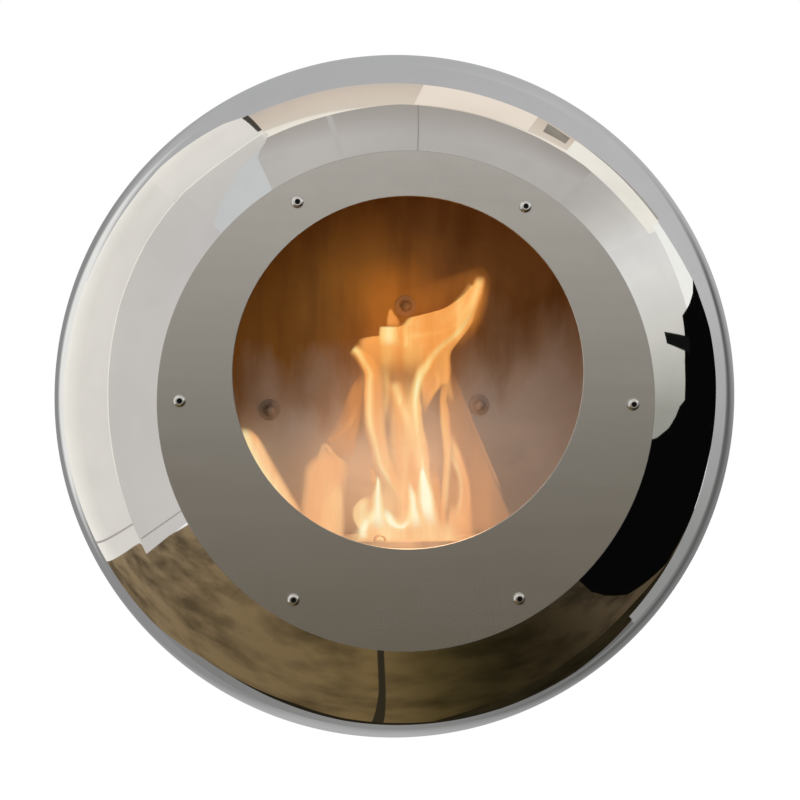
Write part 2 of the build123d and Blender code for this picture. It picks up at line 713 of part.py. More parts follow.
with BuildPart() as burner_top:
    with BuildSketch(Plane.XY.offset(tank_rim_z)):
        with Locations(burner_middle):
            RectangleRounded(BURNER_LENGTH, BURNER_WIDTH, BURNER_CORNER)
    extrude(amount=BURNER_SHEET)
    fillet(burner_top.edges().group_by(Axis.Z)[-1], radius=BURNER_SHEET / 2)
    with BuildSketch(Plane.XY.offset(tank_rim_z)):
        with Locations(burner_middle):
            RectangleRounded(skirt_length, skirt_width, skirt_corner)
            RectangleRounded(
                skirt_length - 2 * SKIRT_WALL,
                skirt_width - 2 * SKIRT_WALL,
                skirt_corner - SKIRT_WALL,
                mode=Mode.SUBTRACT,
            )
    extrude(amount=-SKIRT_DEPTH)
    with BuildSketch(Plane.XY.offset(tank_rim_z)):
        with Locations(slot_middle):
            RectangleRounded(
                SLOT_LENGTH + 2 * SKIRT_WALL, SLOT_WIDTH + 2 * SKIRT_WALL, SLOT_CORNER + SKIRT_WALL
            )
    extrude(amount=-COLLAR_DEPTH)
    with BuildSketch(Plane.XY.offset(burner_top_z)):
        with Locations(slot_middle):
            RectangleRounded(SLOT_LENGTH, SLOT_WIDTH, SLOT_CORNER)
    extrude(amount=-BURNER_SHEET - COLLAR_DEPTH, mode=Mode.SUBTRACT)
    with BuildSketch(Plane.XY.offset(burner_top_z)):
        with Locations(*rail_rivet_places):
            Circle(RAIL_RIVET_RADIUS)
    extrude(amount=-BURNER_SHEET, mode=Mode.SUBTRACT)
save(burner_top.part, "burner_top")

# Absorbent block in the tank, with a perforated sheet lying on it
wool_foot_z = burner_foot_z + BURNER_SHEET
wool_length = well_length - 2 * WOOL_CLEARANCE
wool_width = well_width - 2 * WOOL_CLEARANCE
with BuildPart() as ceramic_wool:
    with BuildSketch(Plane.XY.offset(wool_foot_z)):
        with Locations(burner_middle):
            RectangleRounded(wool_length, wool_width, well_corner)
    extrude(amount=WOOL_HEIGHT)
save(ceramic_wool.part, "ceramic_wool")

gauze_length = wool_length - 2 * GAUZE_MARGIN
gauze_width = wool_width - 2 * GAUZE_MARGIN
gauze_rows = int((gauze_width - GAUZE_SPACING) / GAUZE_SPACING)
gauze_columns = int((gauze_length - GAUZE_SPACING) / GAUZE_SPACING)
with BuildPart() as wool_gauze:
    with BuildSketch(Plane.XY.offset(wool_foot_z + WOOL_HEIGHT)):
        with Locations(burner_middle):
            RectangleRounded(gauze_length, gauze_width, well_corner)
            with GridLocations(GAUZE_SPACING, GAUZE_SPACING, gauze_columns, gauze_rows):
                Rectangle(GAUZE_HOLE, GAUZE_HOLE, mode=Mode.SUBTRACT)
    extrude(amount=GAUZE_THICKNESS)
save(wool_gauze.part, "wool_gauze")

# Damper rails: folded strips that hold the ends of the damper, closed at both ends as stops
lip_inner_x = damper_length / 2 - RAIL_HOLD
rail_top_z = rail_lip_z + RAIL_SHEET
with BuildPart() as rail_right:
    with BuildSketch(facing_front(rail_back - RAIL_SHEET)):
        with BuildLine():
            Polyline(
                (lip_inner_x, burner_top_z),
                (lip_inner_x, rail_top_z),
                (rail_web_x + RAIL_SHEET, rail_top_z),
                (rail_web_x + RAIL_SHEET, burner_top_z + RAIL_SHEET),
                (rail_foot_x, burner_top_z + RAIL_SHEET),
                (rail_foot_x, burner_top_z),
                close=True,
            )
        make_face()
    extrude(amount=rail_front - rail_back + 2 * RAIL_SHEET)
    with BuildSketch(facing_front(rail_back)):
        with BuildLine():
            Polyline(
                (lip_inner_x, burner_top_z),
                (lip_inner_x, rail_lip_z),
                (rail_web_x, rail_lip_z),
                (rail_web_x, burner_top_z),
                close=True,
            )
        make_face()
    extrude(amount=rail_front - rail_back, mode=Mode.SUBTRACT)
    with BuildSketch(Plane.XY.offset(burner_top_z)):
        with Locations(*rail_rivet_places):
            Circle(RAIL_RIVET_RADIUS)
    extrude(amount=RAIL_SHEET, mode=Mode.SUBTRACT)
save(rail_right.part, "rail_right")

with BuildPart() as rail_left:
    mirror(rail_right.part, about=Plane.YZ)
save(rail_left.part, "rail_left")

rail_rivets = blind_rivets(
    Plane.XY.offset(burner_top_z + RAIL_SHEET),
    rail_rivet_places,
    RAIL_RIVET_RADIUS,
    RAIL_SHEET + BURNER_SHEET,
)
save(rail_rivets, "rail_rivets")

# Damper: the sliding cover of the slot, parked in front of it, with its front edge turned up
damper_lip_half = lip_inner_x - DAMPER_LIP_GAP
damper_front = damper_depth + damper_width / 2
with BuildPart() as damper_plate:
    with BuildSketch(Plane.XY.offset(damper_under_z)):
        with Locations((0, -damper_depth)):
            Rectangle(damper_length, damper_width)
    extrude(amount=DAMPER_THICKNESS)
    fillet(damper_plate.edges().filter_by(Axis.Z), radius=DAMPER_CORNER)
    with BuildSketch(facing_front(damper_front)):
        with Locations((0, damper_under_z + (DAMPER_THICKNESS + DAMPER_LIP_HEIGHT) / 2)):
            Rectangle(2 * damper_lip_half, DAMPER_THICKNESS + DAMPER_LIP_HEIGHT)
    extrude(amount=-DAMPER_THICKNESS)
save(damper_plate.part, "damper_plate")

# Pull: a small wire arch near the damper's rear edge, for the hook of the operating tool
pull_depth = damper_depth - damper_width / 2 + PULL_FROM_EDGE
pull_half = PULL_SPAN / 2 - PULL_WIRE_RADIUS
pull_left = PULL_OFF_MIDDLE - pull_half
pull_right = PULL_OFF_MIDDLE + pull_half
pull_leg_z = damper_top_z + PULL_HEIGHT - PULL_WIRE_RADIUS - pull_half
with BuildPart() as damper_pull:
    with BuildLine(facing_front(pull_depth)) as arch:
        Line((pull_left, damper_top_z), (pull_left, pull_leg_z))
        ThreePointArc(
            (pull_left, pull_leg_z),
            (PULL_OFF_MIDDLE, pull_leg_z + pull_half),
            (pull_right, pull_leg_z),
        )
        Line((pull_right, pull_leg_z), (pull_right, damper_top_z))
    with BuildSketch(Plane.XY.offset(damper_top_z)):
        with Locations((pull_left, -pull_depth)):
            Circle(PULL_WIRE_RADIUS)
    sweep(path=arch.wires()[0])
save(damper_pull.part, "damper_pull")
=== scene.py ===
"""Looks of a wall-hung round ethanol fireplace: finishes, mirror shell, flames, wool and studio.

Metres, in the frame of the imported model: the wall is the plane y = 0, the front faces -Y, Z is up.
"""

import json
import logging
import math
from dataclasses import dataclass
from enum import Enum

import bpy
import numpy as np
from mathutils import Matrix, Vector


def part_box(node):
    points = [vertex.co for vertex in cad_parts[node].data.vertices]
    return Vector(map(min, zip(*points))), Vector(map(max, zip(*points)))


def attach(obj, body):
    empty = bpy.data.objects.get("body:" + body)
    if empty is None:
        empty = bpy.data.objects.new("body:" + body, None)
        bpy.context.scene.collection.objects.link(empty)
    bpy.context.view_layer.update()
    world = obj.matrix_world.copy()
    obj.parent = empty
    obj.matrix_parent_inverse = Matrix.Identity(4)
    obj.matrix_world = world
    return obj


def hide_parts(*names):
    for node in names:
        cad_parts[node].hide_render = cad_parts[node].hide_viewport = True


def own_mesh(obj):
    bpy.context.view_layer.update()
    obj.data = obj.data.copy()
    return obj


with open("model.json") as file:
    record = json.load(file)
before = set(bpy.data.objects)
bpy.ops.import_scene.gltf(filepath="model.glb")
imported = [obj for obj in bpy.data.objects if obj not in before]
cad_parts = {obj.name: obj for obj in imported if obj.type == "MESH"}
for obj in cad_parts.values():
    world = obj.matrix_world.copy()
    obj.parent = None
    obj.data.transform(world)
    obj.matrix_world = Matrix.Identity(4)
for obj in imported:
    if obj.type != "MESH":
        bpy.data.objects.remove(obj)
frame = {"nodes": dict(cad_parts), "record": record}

Colour = tuple[float, float, float]
Point2 = tuple[float, float]
Point3 = tuple[float, float, float]
Piece = bpy.types.Object
Material = bpy.types.Material
Tree = bpy.types.NodeTree
Node = bpy.types.Node
Socket = bpy.types.NodeSocket

MM = 0.001
log = logging.getLogger("fireplace")


class Grain(Enum):
    """Direction of the fine lines that polishing or rolling leaves in a metal surface."""

    NONE = "none"
    ACROSS = "across"
    SPUN = "spun"


# Node graph helpers


class Graph:
    """A shader node tree with short calls for adding and joining nodes."""

    def __init__(self, tree: Tree) -> None:
        """Wraps a node tree.

        Args:
            tree: the tree of a material, a world or a node group.
        """
        self.tree = tree

    def add(self, kind: str, **settings: object) -> Node:
        """Adds a node.

        Args:
            kind: the node's type name.
            **settings: attributes to set on the node.

        Returns:
            The new node.
        """
        node = self.tree.nodes.new(kind)
        for key, value in settings.items():
            setattr(node, key, value)
        return node

    def join(self, source: Socket, target: Socket) -> None:
        """Joins an output to an input."""
        self.tree.links.new(source, target)

    def feed(self, value: object, target: Socket) -> None:
        """Gives an input either a constant or a link.

        Args:
            value: an output socket to join, or a number or colour to set.
            target: the input that receives it.
        """
        if isinstance(value, Socket):
            self.join(value, target)
        elif target.type == "RGBA":
            target.default_value = (*value, 1.0)
        else:
            target.default_value = value

    def maths(self, operation: str, first: object, second: object = 0.0) -> Socket:
        """Adds one arithmetic step.

        Args:
            operation: the Math node's operation.
            first: the first value, a socket or a number.
            second: the second value, a socket or a number.

        Returns:
            The result's socket.
        """
        node = self.add("ShaderNodeMath", operation=operation)
        self.feed(first, node.inputs[0])
        self.feed(second, node.inputs[1])
        return node.outputs[0]

    def times(self, first: object, second: object) -> Socket:
        """Multiplies two values."""
        return self.maths("MULTIPLY", first, second)

    def plus(self, first: object, second: object) -> Socket:
        """Adds two values."""
        return self.maths("ADD", first, second)

    def noise(self, place: Socket, scale: float, detail: float = 3.0) -> Socket:
        """Adds a noise pattern.

        Args:
            place: the vector that the pattern follows.
            scale: lumps per metre.
            detail: how many finer octaves are laid over it.

        Returns:
            A value from 0 to 1.
        """
        node = self.add("ShaderNodeTexNoise")
        self.join(place, node.inputs["Vector"])
        node.inputs["Scale"].default_value = scale
        node.inputs["Detail"].default_value = detail
        return node.outputs["Fac"]

    def stretch(self, place: Socket, scale: Point3) -> Socket:
        """Stretches a vector.

        Args:
            place: the vector.
            scale: a factor for each axis.

        Returns:
            The stretched vector.
        """
        node = self.add("ShaderNodeMapping", vector_type="POINT")
        self.join(place, node.inputs["Vector"])
        node.inputs["Scale"].default_value = scale
        return node.outputs["Vector"]

    def vector(self, operation: str, place: Socket, other: Point3 = (0.0, 0.0, 0.0)) -> Socket:
        """Adds one step of vector arithmetic.

        Args:
            operation: the Vector Math node's operation.
            place: the vector.
            other: the second vector, the same everywhere.

        Returns:
            The resulting vector.
        """
        node = self.add("ShaderNodeVectorMath", operation=operation)
        self.join(place, node.inputs[0])
        node.inputs[1].default_value = other
        return node.outputs[0]

    def scaled(self, place: Socket, factor: Socket) -> Socket:
        """Scales a vector by a value."""
        node = self.add("ShaderNodeVectorMath", operation="SCALE")
        self.join(place, node.inputs[0])
        self.join(factor, node.inputs["Scale"])
        return node.outputs[0]

    def length(self, place: Socket) -> Socket:
        """Measures a vector's length."""
        node = self.add("ShaderNodeVectorMath", operation="LENGTH")
        self.join(place, node.inputs[0])
        return node.outputs["Value"]

    def parts(self, place: Socket) -> list[Socket]:
        """Splits a vector into its X, Y and Z."""
        node = self.add("ShaderNodeSeparateXYZ")
        self.join(place, node.inputs[0])
        return list(node.outputs)

    def hypot(self, first: Socket, second: Socket) -> Socket:
        """Works out sqrt(first^2 + second^2)."""
        squares = (self.times(value, value) for value in (first, second))
        return self.maths("SQRT", self.plus(*squares))

    def bump(self, height: Socket, distance: float, shader: Node) -> None:
        """Raises a shader's surface.

        Args:
            height: from 0 to 1.
            distance: how far a height of 1 stands up, in metres.
            shader: the shader whose normal it turns.
        """
        node = self.add("ShaderNodeBump")
        node.inputs["Distance"].default_value = distance
        self.join(height, node.inputs["Height"])
        self.join(node.outputs["Normal"], shader.inputs["Normal"])

    def effect(self, tree: Tree, place: Socket, **amounts: float) -> Node:
        """Places a shared effect.

        Args:
            tree: the effect's node group.
            place: the vector that it follows.
            **amounts: values for its other inputs.

        Returns:
            The group's node.
        """
        node = self.add("ShaderNodeGroup", node_tree=tree)
        self.join(place, node.inputs["Place"])
        for name, value in amounts.items():
            node.inputs[name].default_value = value
        return node

    def spread(self, value: Socket, low: float, high: float, first: float, last: float) -> Socket:
        """Maps a range of values to another, held at its ends.

        Args:
            value: what is mapped.
            low: the value that gives first.
            high: the value that gives last.
            first: the result at low.
            last: the result at high.

        Returns:
            The mapped value.
        """
        node = self.add("ShaderNodeMapRange", clamp=True)
        self.join(value, node.inputs["Value"])
        for name, number in zip(("From Min", "From Max", "To Min", "To Max"), (low, high, first, last)):
            node.inputs[name].default_value = number
        return node.outputs["Result"]

    def blend(self, share: object, first: object, second: object) -> Socket:
        """Blends two colours.

        Args:
            share: how much of the second colour shows, a socket or a number.
            first: a colour or a socket.
            second: a colour or a socket.

        Returns:
            The blended colour.
        """
        node = self.add("ShaderNodeMix", data_type="RGBA")
        self.feed(share, node.inputs[0])
        for value, target in ((first, node.inputs[6]), (second, node.inputs[7])):
            self.feed(value, target)
        return node.outputs[2]

    def ramp(self, value: Socket, stops: list[tuple[float, Colour]]) -> Socket:
        """Turns a value into a colour.

        Args:
            value: from 0 to 1.
            stops: places along the ramp, with a colour each.

        Returns:
            The colour.
        """
        node = self.add("ShaderNodeValToRGB")
        self.join(value, node.inputs["Fac"])
        elements = node.color_ramp.elements
        while len(elements) < len(stops):
            elements.new(1.0)
        for element, (place, colour) in zip(elements, stops):
            element.position = place
            element.color = (*colour, 1.0)
        return node.outputs["Color"]


def new_group(name: str, inputs: dict[str, float], outputs: list[str]) -> tuple[Tree, Graph]:
    """Starts a shader node group that reads a place and some amounts.

    Args:
        name: the group's name.
        inputs: the names of its amounts, with their usual values.
        outputs: the names of the values that it gives.

    Returns:
        The group and a graph that fills it.
    """
    tree = bpy.data.node_groups.new(name, "ShaderNodeTree")
    tree.interface.new_socket("Place", in_out="INPUT", socket_type="NodeSocketVector")
    for label, usual in inputs.items():
        socket = tree.interface.new_socket(label, in_out="INPUT", socket_type="NodeSocketFloat")
        socket.default_value = usual
    for label in outputs:
        tree.interface.new_socket(label, in_out="OUTPUT", socket_type="NodeSocketFloat")
    return tree, Graph(tree)


def new_material(name: str) -> tuple[Material, Graph, Node, Socket]:
    """Starts a material.

    Args:
        name: its name.

    Returns:
        The material, its graph, its Principled shader and its Object coordinates.
    """
    material = bpy.data.materials.new(name)
    material.use_nodes = True
    graph = Graph(material.node_tree)
    shader = material.node_tree.nodes["Principled BSDF"]
    return material, graph, shader, graph.add("ShaderNodeTexCoord").outputs["Object"]


class Effects:
    """Node groups that several finishes share, built once."""

    def __init__(self) -> None:
        """Builds every group."""
        self.across = self.across_grain()
        self.spun = self.spun_grain()
        self.smudges = self.handling_smudges()
        self.tint = self.heat_tint()

    def across_grain(self) -> Tree:
        """Fine lines along X: noise whose lumps are 60 times longer along X than across it.

        Returns:
            A group that gives Height and Shade, both from 0 to 1.
        """
        tree, graph = new_group("across_grain", {"Fineness": 1.0}, ["Height", "Shade"])
        ins, outs = graph.add("NodeGroupInput"), graph.add("NodeGroupOutput")
        scaled = graph.scaled(ins.outputs["Place"], ins.outputs["Fineness"])
        lines, bands = (graph.stretch(scaled, (squeeze, 1.0, 1.0)) for squeeze in (0.02, 0.12))
        graph.join(graph.noise(lines, 1300.0, 2.0), outs.inputs["Height"])
        graph.join(graph.noise(bands, 60.0), outs.inputs["Shade"])
        return tree

    def spun_grain(self) -> Tree:
        """Rings round the Y axis: noise read from the distance to that axis and from the depth.

        Returns:
            A group that gives Height and Shade, both from 0 to 1.
        """
        tree, graph = new_group("spun_grain", {"Fineness": 1.0}, ["Height", "Shade"])
        ins, outs = graph.add("NodeGroupInput"), graph.add("NodeGroupOutput")
        reach = graph.length(graph.vector("MULTIPLY", ins.outputs["Place"], (1.0, 0.0, 1.0)))
        depth = graph.parts(ins.outputs["Place"])[1]
        rings = graph.add("ShaderNodeCombineXYZ")
        for value, target in zip((reach, depth), rings.inputs):
            graph.join(graph.times(value, ins.outputs["Fineness"]), target)
        graph.join(graph.noise(rings.outputs[0], 700.0, 2.0), outs.inputs["Height"])
        graph.join(graph.noise(rings.outputs[0], 45.0, 1.0), outs.inputs["Shade"])
        return tree

    def handling_smudges(self) -> Tree:
        """Soft patches where a surface is a little duller: two noises multiplied and held.

        Returns:
            A group that gives Mask, 0 on clean metal and 1 in a smudge.
        """
        tree, graph = new_group("handling_smudges", {"Size": 1.0}, ["Mask"])
        ins, outs = graph.add("NodeGroupInput"), graph.add("NodeGroupOutput")
        scaled = graph.scaled(ins.outputs["Place"], ins.outputs["Size"])
        broad, fine = graph.noise(scaled, 9.0, 4.0), graph.noise(scaled, 42.0, 5.0)
        mask = graph.spread(graph.times(broad, fine), 0.2, 0.42, 0.0, 1.0)
        graph.join(mask, outs.inputs["Mask"])
        return tree

    def heat_tint(self) -> Tree:
        """Heat colour masks: nearness to a hot spot, broken up by noise and by drips that run down.

        Returns:
            A group that gives Near, Streaks and Blotches, each from 0 to 1.
        """
        tree, graph = new_group("heat_tint", {"Reach": 0.15}, ["Near", "Streaks", "Blotches"])
        ins, outs = graph.add("NodeGroupInput"), graph.add("NodeGroupOutput")
        share = graph.maths("DIVIDE", graph.length(ins.outputs["Place"]), ins.outputs["Reach"])
        wander = graph.noise(ins.outputs["Place"], 16.0, 4.0)
        ragged = graph.plus(share, graph.spread(wander, 0.3, 0.7, -0.25, 0.25))
        graph.join(graph.spread(ragged, 0.2, 1.0, 1.0, 0.0), outs.inputs["Near"])
        upright = graph.stretch(ins.outputs["Place"], (1.0, 1.0, 0.16))
        streaks, blotches = graph.noise(upright, 46.0, 4.0), graph.noise(ins.outputs["Place"], 26.0, 5.0)
        graph.join(graph.spread(streaks, 0.5, 0.66, 0.0, 1.0), outs.inputs["Streaks"])
        graph.join(graph.spread(blotches, 0.42, 0.64, 0.0, 1.0), outs.inputs["Blotches"])
        return tree


# Finishes


@dataclass(frozen=True)
class Steel:
    """A steel finish: colour, gloss, grain, smudges and the colours that heat leaves."""

    name: str
    colour: Colour
    roughness: float
    grain: Grain = Grain.NONE
    grain_depth: float = 0.0
    grain_shade: float = 0.0
    fineness: float = 1.0
    smudge: float = 0.06
    tint: float = 0.0
    hot_spot: Point3 = (0.0, 0.0, 0.0)
    hot_reach: float = 0.15
    straw: Colour = (0.42, 0.25, 0.10)
    soot: Colour = (0.05, 0.035, 0.025)
    metallic: float = 1.0
    smudge_share: float = 0.25
    smudge_dim: float = 0.8
    streak_share: float = 0.55
    streak_dull: float = 0.2
    blotch_share: float = 0.35
    blotch_dim: float = 0.45

    def build(self, effects: Effects) -> Material:
        """Makes the material.

        Args:
            effects: the shared node groups.

        Returns:
            The material.
        """
        material, graph, shader, place = new_material(self.name)
        shader.inputs["Metallic"].default_value = self.metallic
        smudges = graph.effect(effects.smudges, place)
        mask = smudges.outputs["Mask"]
        rough = graph.spread(mask, 0.0, 1.0, self.roughness, self.roughness + self.smudge)
        dimmed = tuple(self.smudge_dim * c for c in self.colour)
        colour: object = graph.blend(graph.times(mask, self.smudge_share), self.colour, dimmed)
        if self.grain is not Grain.NONE:
            tree = effects.across if self.grain is Grain.ACROSS else effects.spun
            lines = graph.effect(tree, place, Fineness=self.fineness)
            graph.bump(lines.outputs["Height"], self.grain_depth, shader)
            darker = tuple(c * (1.0 - self.grain_shade) for c in self.colour)
            shade = graph.spread(lines.outputs["Shade"], 0.35, 0.65, 0.0, 1.0)
            colour = graph.blend(graph.times(shade, 0.5), colour, darker)
        if self.tint > 0.0:
            colour, rough = self.heated(graph, effects, place, colour, rough)
        graph.feed(colour, shader.inputs["Base Color"])
        graph.join(rough, shader.inputs["Roughness"])
        return material

    def heated(
        self,
        graph: Graph,
        effects: Effects,
        place: Socket,
        colour: object,
        rough: Socket,
    ) -> tuple[object, Socket]:
        """Lays straw colour, brown streaks and soot over the metal round its hot spot.

        Args:
            graph: the material's graph.
            effects: the shared node groups.
            place: the object coordinates.
            colour: the clean metal's colour.
            rough: the clean metal's roughness.

        Returns:
            The heated colour and roughness.
        """
        moved = graph.vector("SUBTRACT", place, self.hot_spot)
        heat = graph.effect(effects.tint, moved, Reach=self.hot_reach)
        near = graph.times(heat.outputs["Near"], self.tint)
        colour = graph.blend(near, colour, self.straw)
        streaks = graph.times(heat.outputs["Streaks"], self.streak_share * self.tint)
        colour = graph.blend(streaks, colour, self.soot)
        blotches = graph.times(heat.outputs["Blotches"], self.blotch_share * self.tint)
        colour = graph.blend(blotches, colour, tuple(self.blotch_dim * c for c in self.colour))
        return colour, graph.plus(rough, graph.times(streaks, self.streak_dull))


@dataclass(frozen=True)
class HeatShieldSteel:
    """The plate behind the flames: grey below; above, brown that is heat tint with painted warm firelight,
    darker on the left as painted shade; straw heat tint with a painted glow round the flame's tip.
    """

    name: str
    grey: Colour = (0.55, 0.48, 0.44)
    # Heat tint with painted warm firelight; the next brown is the same, darkened on the left as painted
    # shade.
    brown: Colour = (0.37, 0.190, 0.066)
    shaded_brown_left: Colour = (0.33, 0.142, 0.022)
    dark: Colour = (0.19, 0.085, 0.024)
    # Straw heat tint with a painted glow of the flame's tip.
    straw: Colour = (0.52, 0.24, 0.04)
    line: float = 0.014
    tilt: float = -0.25
    wander: float = 0.03
    tip: Point3 = (-0.018, -0.053, 0.095)
    reach: float = 0.085
    roughness: Point2 = (0.44, 0.60)
    straw_and_glow_share: float = 0.85
    streak_share: float = 0.35
    metallic: float = 0.7
    grain_depth: float = 0.000006

    def build(self, effects: Effects) -> Material:
        """Makes the material.

        Args:
            effects: the shared node groups.

        Returns:
            The material.
        """
        material, graph, shader, place = new_material(self.name)
        shader.inputs["Metallic"].default_value = self.metallic
        across, _, upward = graph.parts(place)
        upright = graph.stretch(place, (1.0, 1.0, 0.4))
        drift = graph.spread(graph.noise(upright, 22.0, 4.0), 0.3, 0.7, -self.wander, self.wander)
        tilted = graph.times(across, self.tilt)
        height = graph.plus(graph.plus(upward, tilted), drift)
        # Brown above the line: heat tint with painted warm firelight.
        browned = graph.spread(height, self.line - 0.05, self.line + 0.05, 0.0, 1.0)
        # Painted shade: the brown darkens towards the left.
        left_shade = graph.spread(across, -0.10, 0.05, 1.0, 0.0)
        brown = graph.blend(left_shade, self.brown, self.shaded_brown_left)
        colour = graph.blend(browned, self.grey, brown)
        blotches = graph.spread(graph.noise(upright, 24.0, 5.0), 0.44, 0.70, 0.0, 0.7)
        colour = graph.blend(graph.times(blotches, browned), colour, self.dark)
        # Round the flame's tip: straw heat tint with a painted glow.
        heat = graph.effect(effects.tint, graph.vector("SUBTRACT", place, self.tip), Reach=self.reach)
        colour = graph.blend(graph.times(heat.outputs["Near"], self.straw_and_glow_share), colour, self.straw)
        streaks = graph.times(heat.outputs["Streaks"], browned)
        colour = graph.blend(graph.times(streaks, self.streak_share), colour, self.dark)
        graph.join(colour, shader.inputs["Base Color"])
        smudges = graph.effect(effects.smudges, place)
        rough = graph.spread(smudges.outputs["Mask"], 0.0, 1.0, *self.roughness)
        graph.join(rough, shader.inputs["Roughness"])
        graph.bump(graph.effect(effects.across, place).outputs["Height"], self.grain_depth, shader)
        return material


@dataclass(frozen=True)
class RingScrewSteel:
    """Polished button heads whose sockets are painted near-black as shade, on a circle round the Y axis.
    """

    name: str
    colour: Colour = (0.80, 0.80, 0.79)
    # Painted shade inside the sockets.
    socket: Colour = (0.02, 0.02, 0.02)
    circle: float = 0.192
    count: int = 6
    socket_radius: float = 0.0024
    socket_edge: float = 0.0002
    socket_dull: float = 0.4

    def build(self, effects: Effects) -> Material:
        """Makes the material.

        Every point is turned by whole steps until it lies by the first screw: with r and a its polar
        place, the nearest axis is (circle, 0) and the point is (r cos b, r sin b), where b is a less
        the nearest whole number of steps.

        Args:
            effects: the shared node groups.

        Returns:
            The material.
        """
        material, graph, shader, place = new_material(self.name)
        shader.inputs["Metallic"].default_value = 1.0
        across, _, upward = graph.parts(place)
        radius = graph.hypot(across, upward)
        step = 2.0 * math.pi / self.count
        angle = graph.maths("ARCTAN2", upward, across)
        steps = graph.maths("ROUND", graph.maths("DIVIDE", angle, step))
        turned = graph.maths("SUBTRACT", angle, graph.times(steps, step))
        reached = graph.times(radius, graph.maths("COSINE", turned))
        side = graph.times(radius, graph.maths("SINE", turned))
        away = graph.hypot(graph.maths("SUBTRACT", reached, self.circle), side)
        start = self.socket_radius - self.socket_edge
        # Painted shade: near-black inside each socket.
        shaded_socket = graph.spread(away, start, self.socket_radius, 1.0, 0.0)
        graph.join(graph.blend(shaded_socket, self.colour, self.socket), shader.inputs["Base Color"])
        smudges = graph.effect(effects.smudges, place, Size=6.0)
        rough = graph.spread(smudges.outputs["Mask"], 0.0, 1.0, 0.10, 0.20)
        dulled = graph.plus(rough, graph.times(shaded_socket, self.socket_dull))
        graph.join(dulled, shader.inputs["Roughness"])
        return material


@dataclass(frozen=True)
class Rubber:
    """Matt moulded rubber with a fine grain and a dusting of grey."""

    name: str
    colour: Colour = (0.018, 0.018, 0.019)
    dust: Colour = (0.09, 0.088, 0.085)
    roughness: float = 0.68
    dust_share: float = 0.5
    grain_scale: float = 1500.0
    grain_depth: float = 0.00025

    def build(self, effects: Effects) -> Material:
        """Makes the material.

        Args:
            effects: the shared node groups.

        Returns:
            The material.
        """
        material, graph, shader, place = new_material(self.name)
        shader.inputs["Roughness"].default_value = self.roughness
        smudges = graph.effect(effects.smudges, place, Size=3.0)
        share = graph.times(smudges.outputs["Mask"], self.dust_share)
        graph.join(graph.blend(share, self.colour, self.dust), shader.inputs["Base Color"])
        graph.bump(graph.noise(place, self.grain_scale), self.grain_depth, shader)
        return material


@dataclass(frozen=True)
class Wool:
    """Off-white ceramic fibre, matted and lightly scorched where the flame stands."""

    name: str
    colour: Colour = (0.66, 0.61, 0.52)
    scorch: Colour = (0.16, 0.10, 0.06)
    scorch_share: float = 0.6
    fibre_depth: float = 0.0012

    def build(self, effects: Effects) -> Material:
        """Makes the material.

        Args:
            effects: the shared node groups.

        Returns:
            The material.
        """
        material, graph, shader, place = new_material(self.name)
        shader.inputs["Roughness"].default_value = 0.95
        shader.inputs["Specular IOR Level"].default_value = 0.15
        smudges = graph.effect(effects.smudges, place, Size=4.0)
        scorched = graph.times(smudges.outputs["Mask"], self.scorch_share)
        graph.join(graph.blend(scorched, self.colour, self.scorch), shader.inputs["Base Color"])
        fibres = graph.noise(graph.stretch(place, (0.25, 1.0, 1.0)), 900.0, 5.0)
        graph.bump(fibres, self.fibre_depth, shader)
        return material


@dataclass(frozen=True)
class Flame:
    """Glowing gas: its colour follows the glow attribute and its thinness the veil attribute."""

    name: str
    high: tuple[tuple[float, Colour], ...] = (
        (0.0, (0.62, 0.21, 0.035)),
        (0.3, (0.95, 0.34, 0.07)),
        (0.5, (0.99, 0.40, 0.10)),
        (0.72, (1.0, 0.62, 0.21)),
        (0.88, (1.0, 0.80, 0.33)),
        (1.0, (1.0, 0.96, 0.66)),
    )
    low: tuple[tuple[float, Colour], ...] = (
        (0.0, (0.70, 0.34, 0.17)),
        (0.3, (0.95, 0.44, 0.19)),
        (0.5, (0.99, 0.51, 0.24)),
        (0.72, (1.0, 0.67, 0.34)),
        (0.88, (1.0, 0.84, 0.46)),
        (1.0, (1.0, 0.97, 0.70)),
    )

    def build(self) -> Material:
        """Makes the material.

        Returns:
            The material.
        """
        material, graph, shader, place = new_material(self.name)
        shader.inputs["Base Color"].default_value = (0.0, 0.0, 0.0, 1.0)
        shader.inputs["Roughness"].default_value = 1.0
        shader.inputs["Specular IOR Level"].default_value = 0.0
        shader.inputs["Emission Strength"].default_value = 1.0
        licks = graph.noise(graph.stretch(place, (1.0, 1.0, 0.14)), 62.0, 3.0)
        glow = graph.add("ShaderNodeAttribute", attribute_name="glow").outputs["Fac"]
        veil = graph.add("ShaderNodeAttribute", attribute_name="veil").outputs["Fac"]
        warmth = graph.plus(glow, graph.spread(licks, 0.3, 0.7, -0.15, 0.15))
        lower = graph.spread(graph.parts(place)[2], -0.05, 0.03, 1.0, 0.0)
        upper_colour, lower_colour = (graph.ramp(warmth, list(stops)) for stops in (self.high, self.low))
        colour = graph.blend(lower, upper_colour, lower_colour)
        graph.join(colour, shader.inputs["Emission Color"])
        thinned = graph.times(veil, graph.spread(licks, 0.3, 0.65, 0.66, 1.0))
        graph.join(thinned, shader.inputs["Alpha"])
        return material


HOT_SPOT = (0.01, -0.053, 0.075)

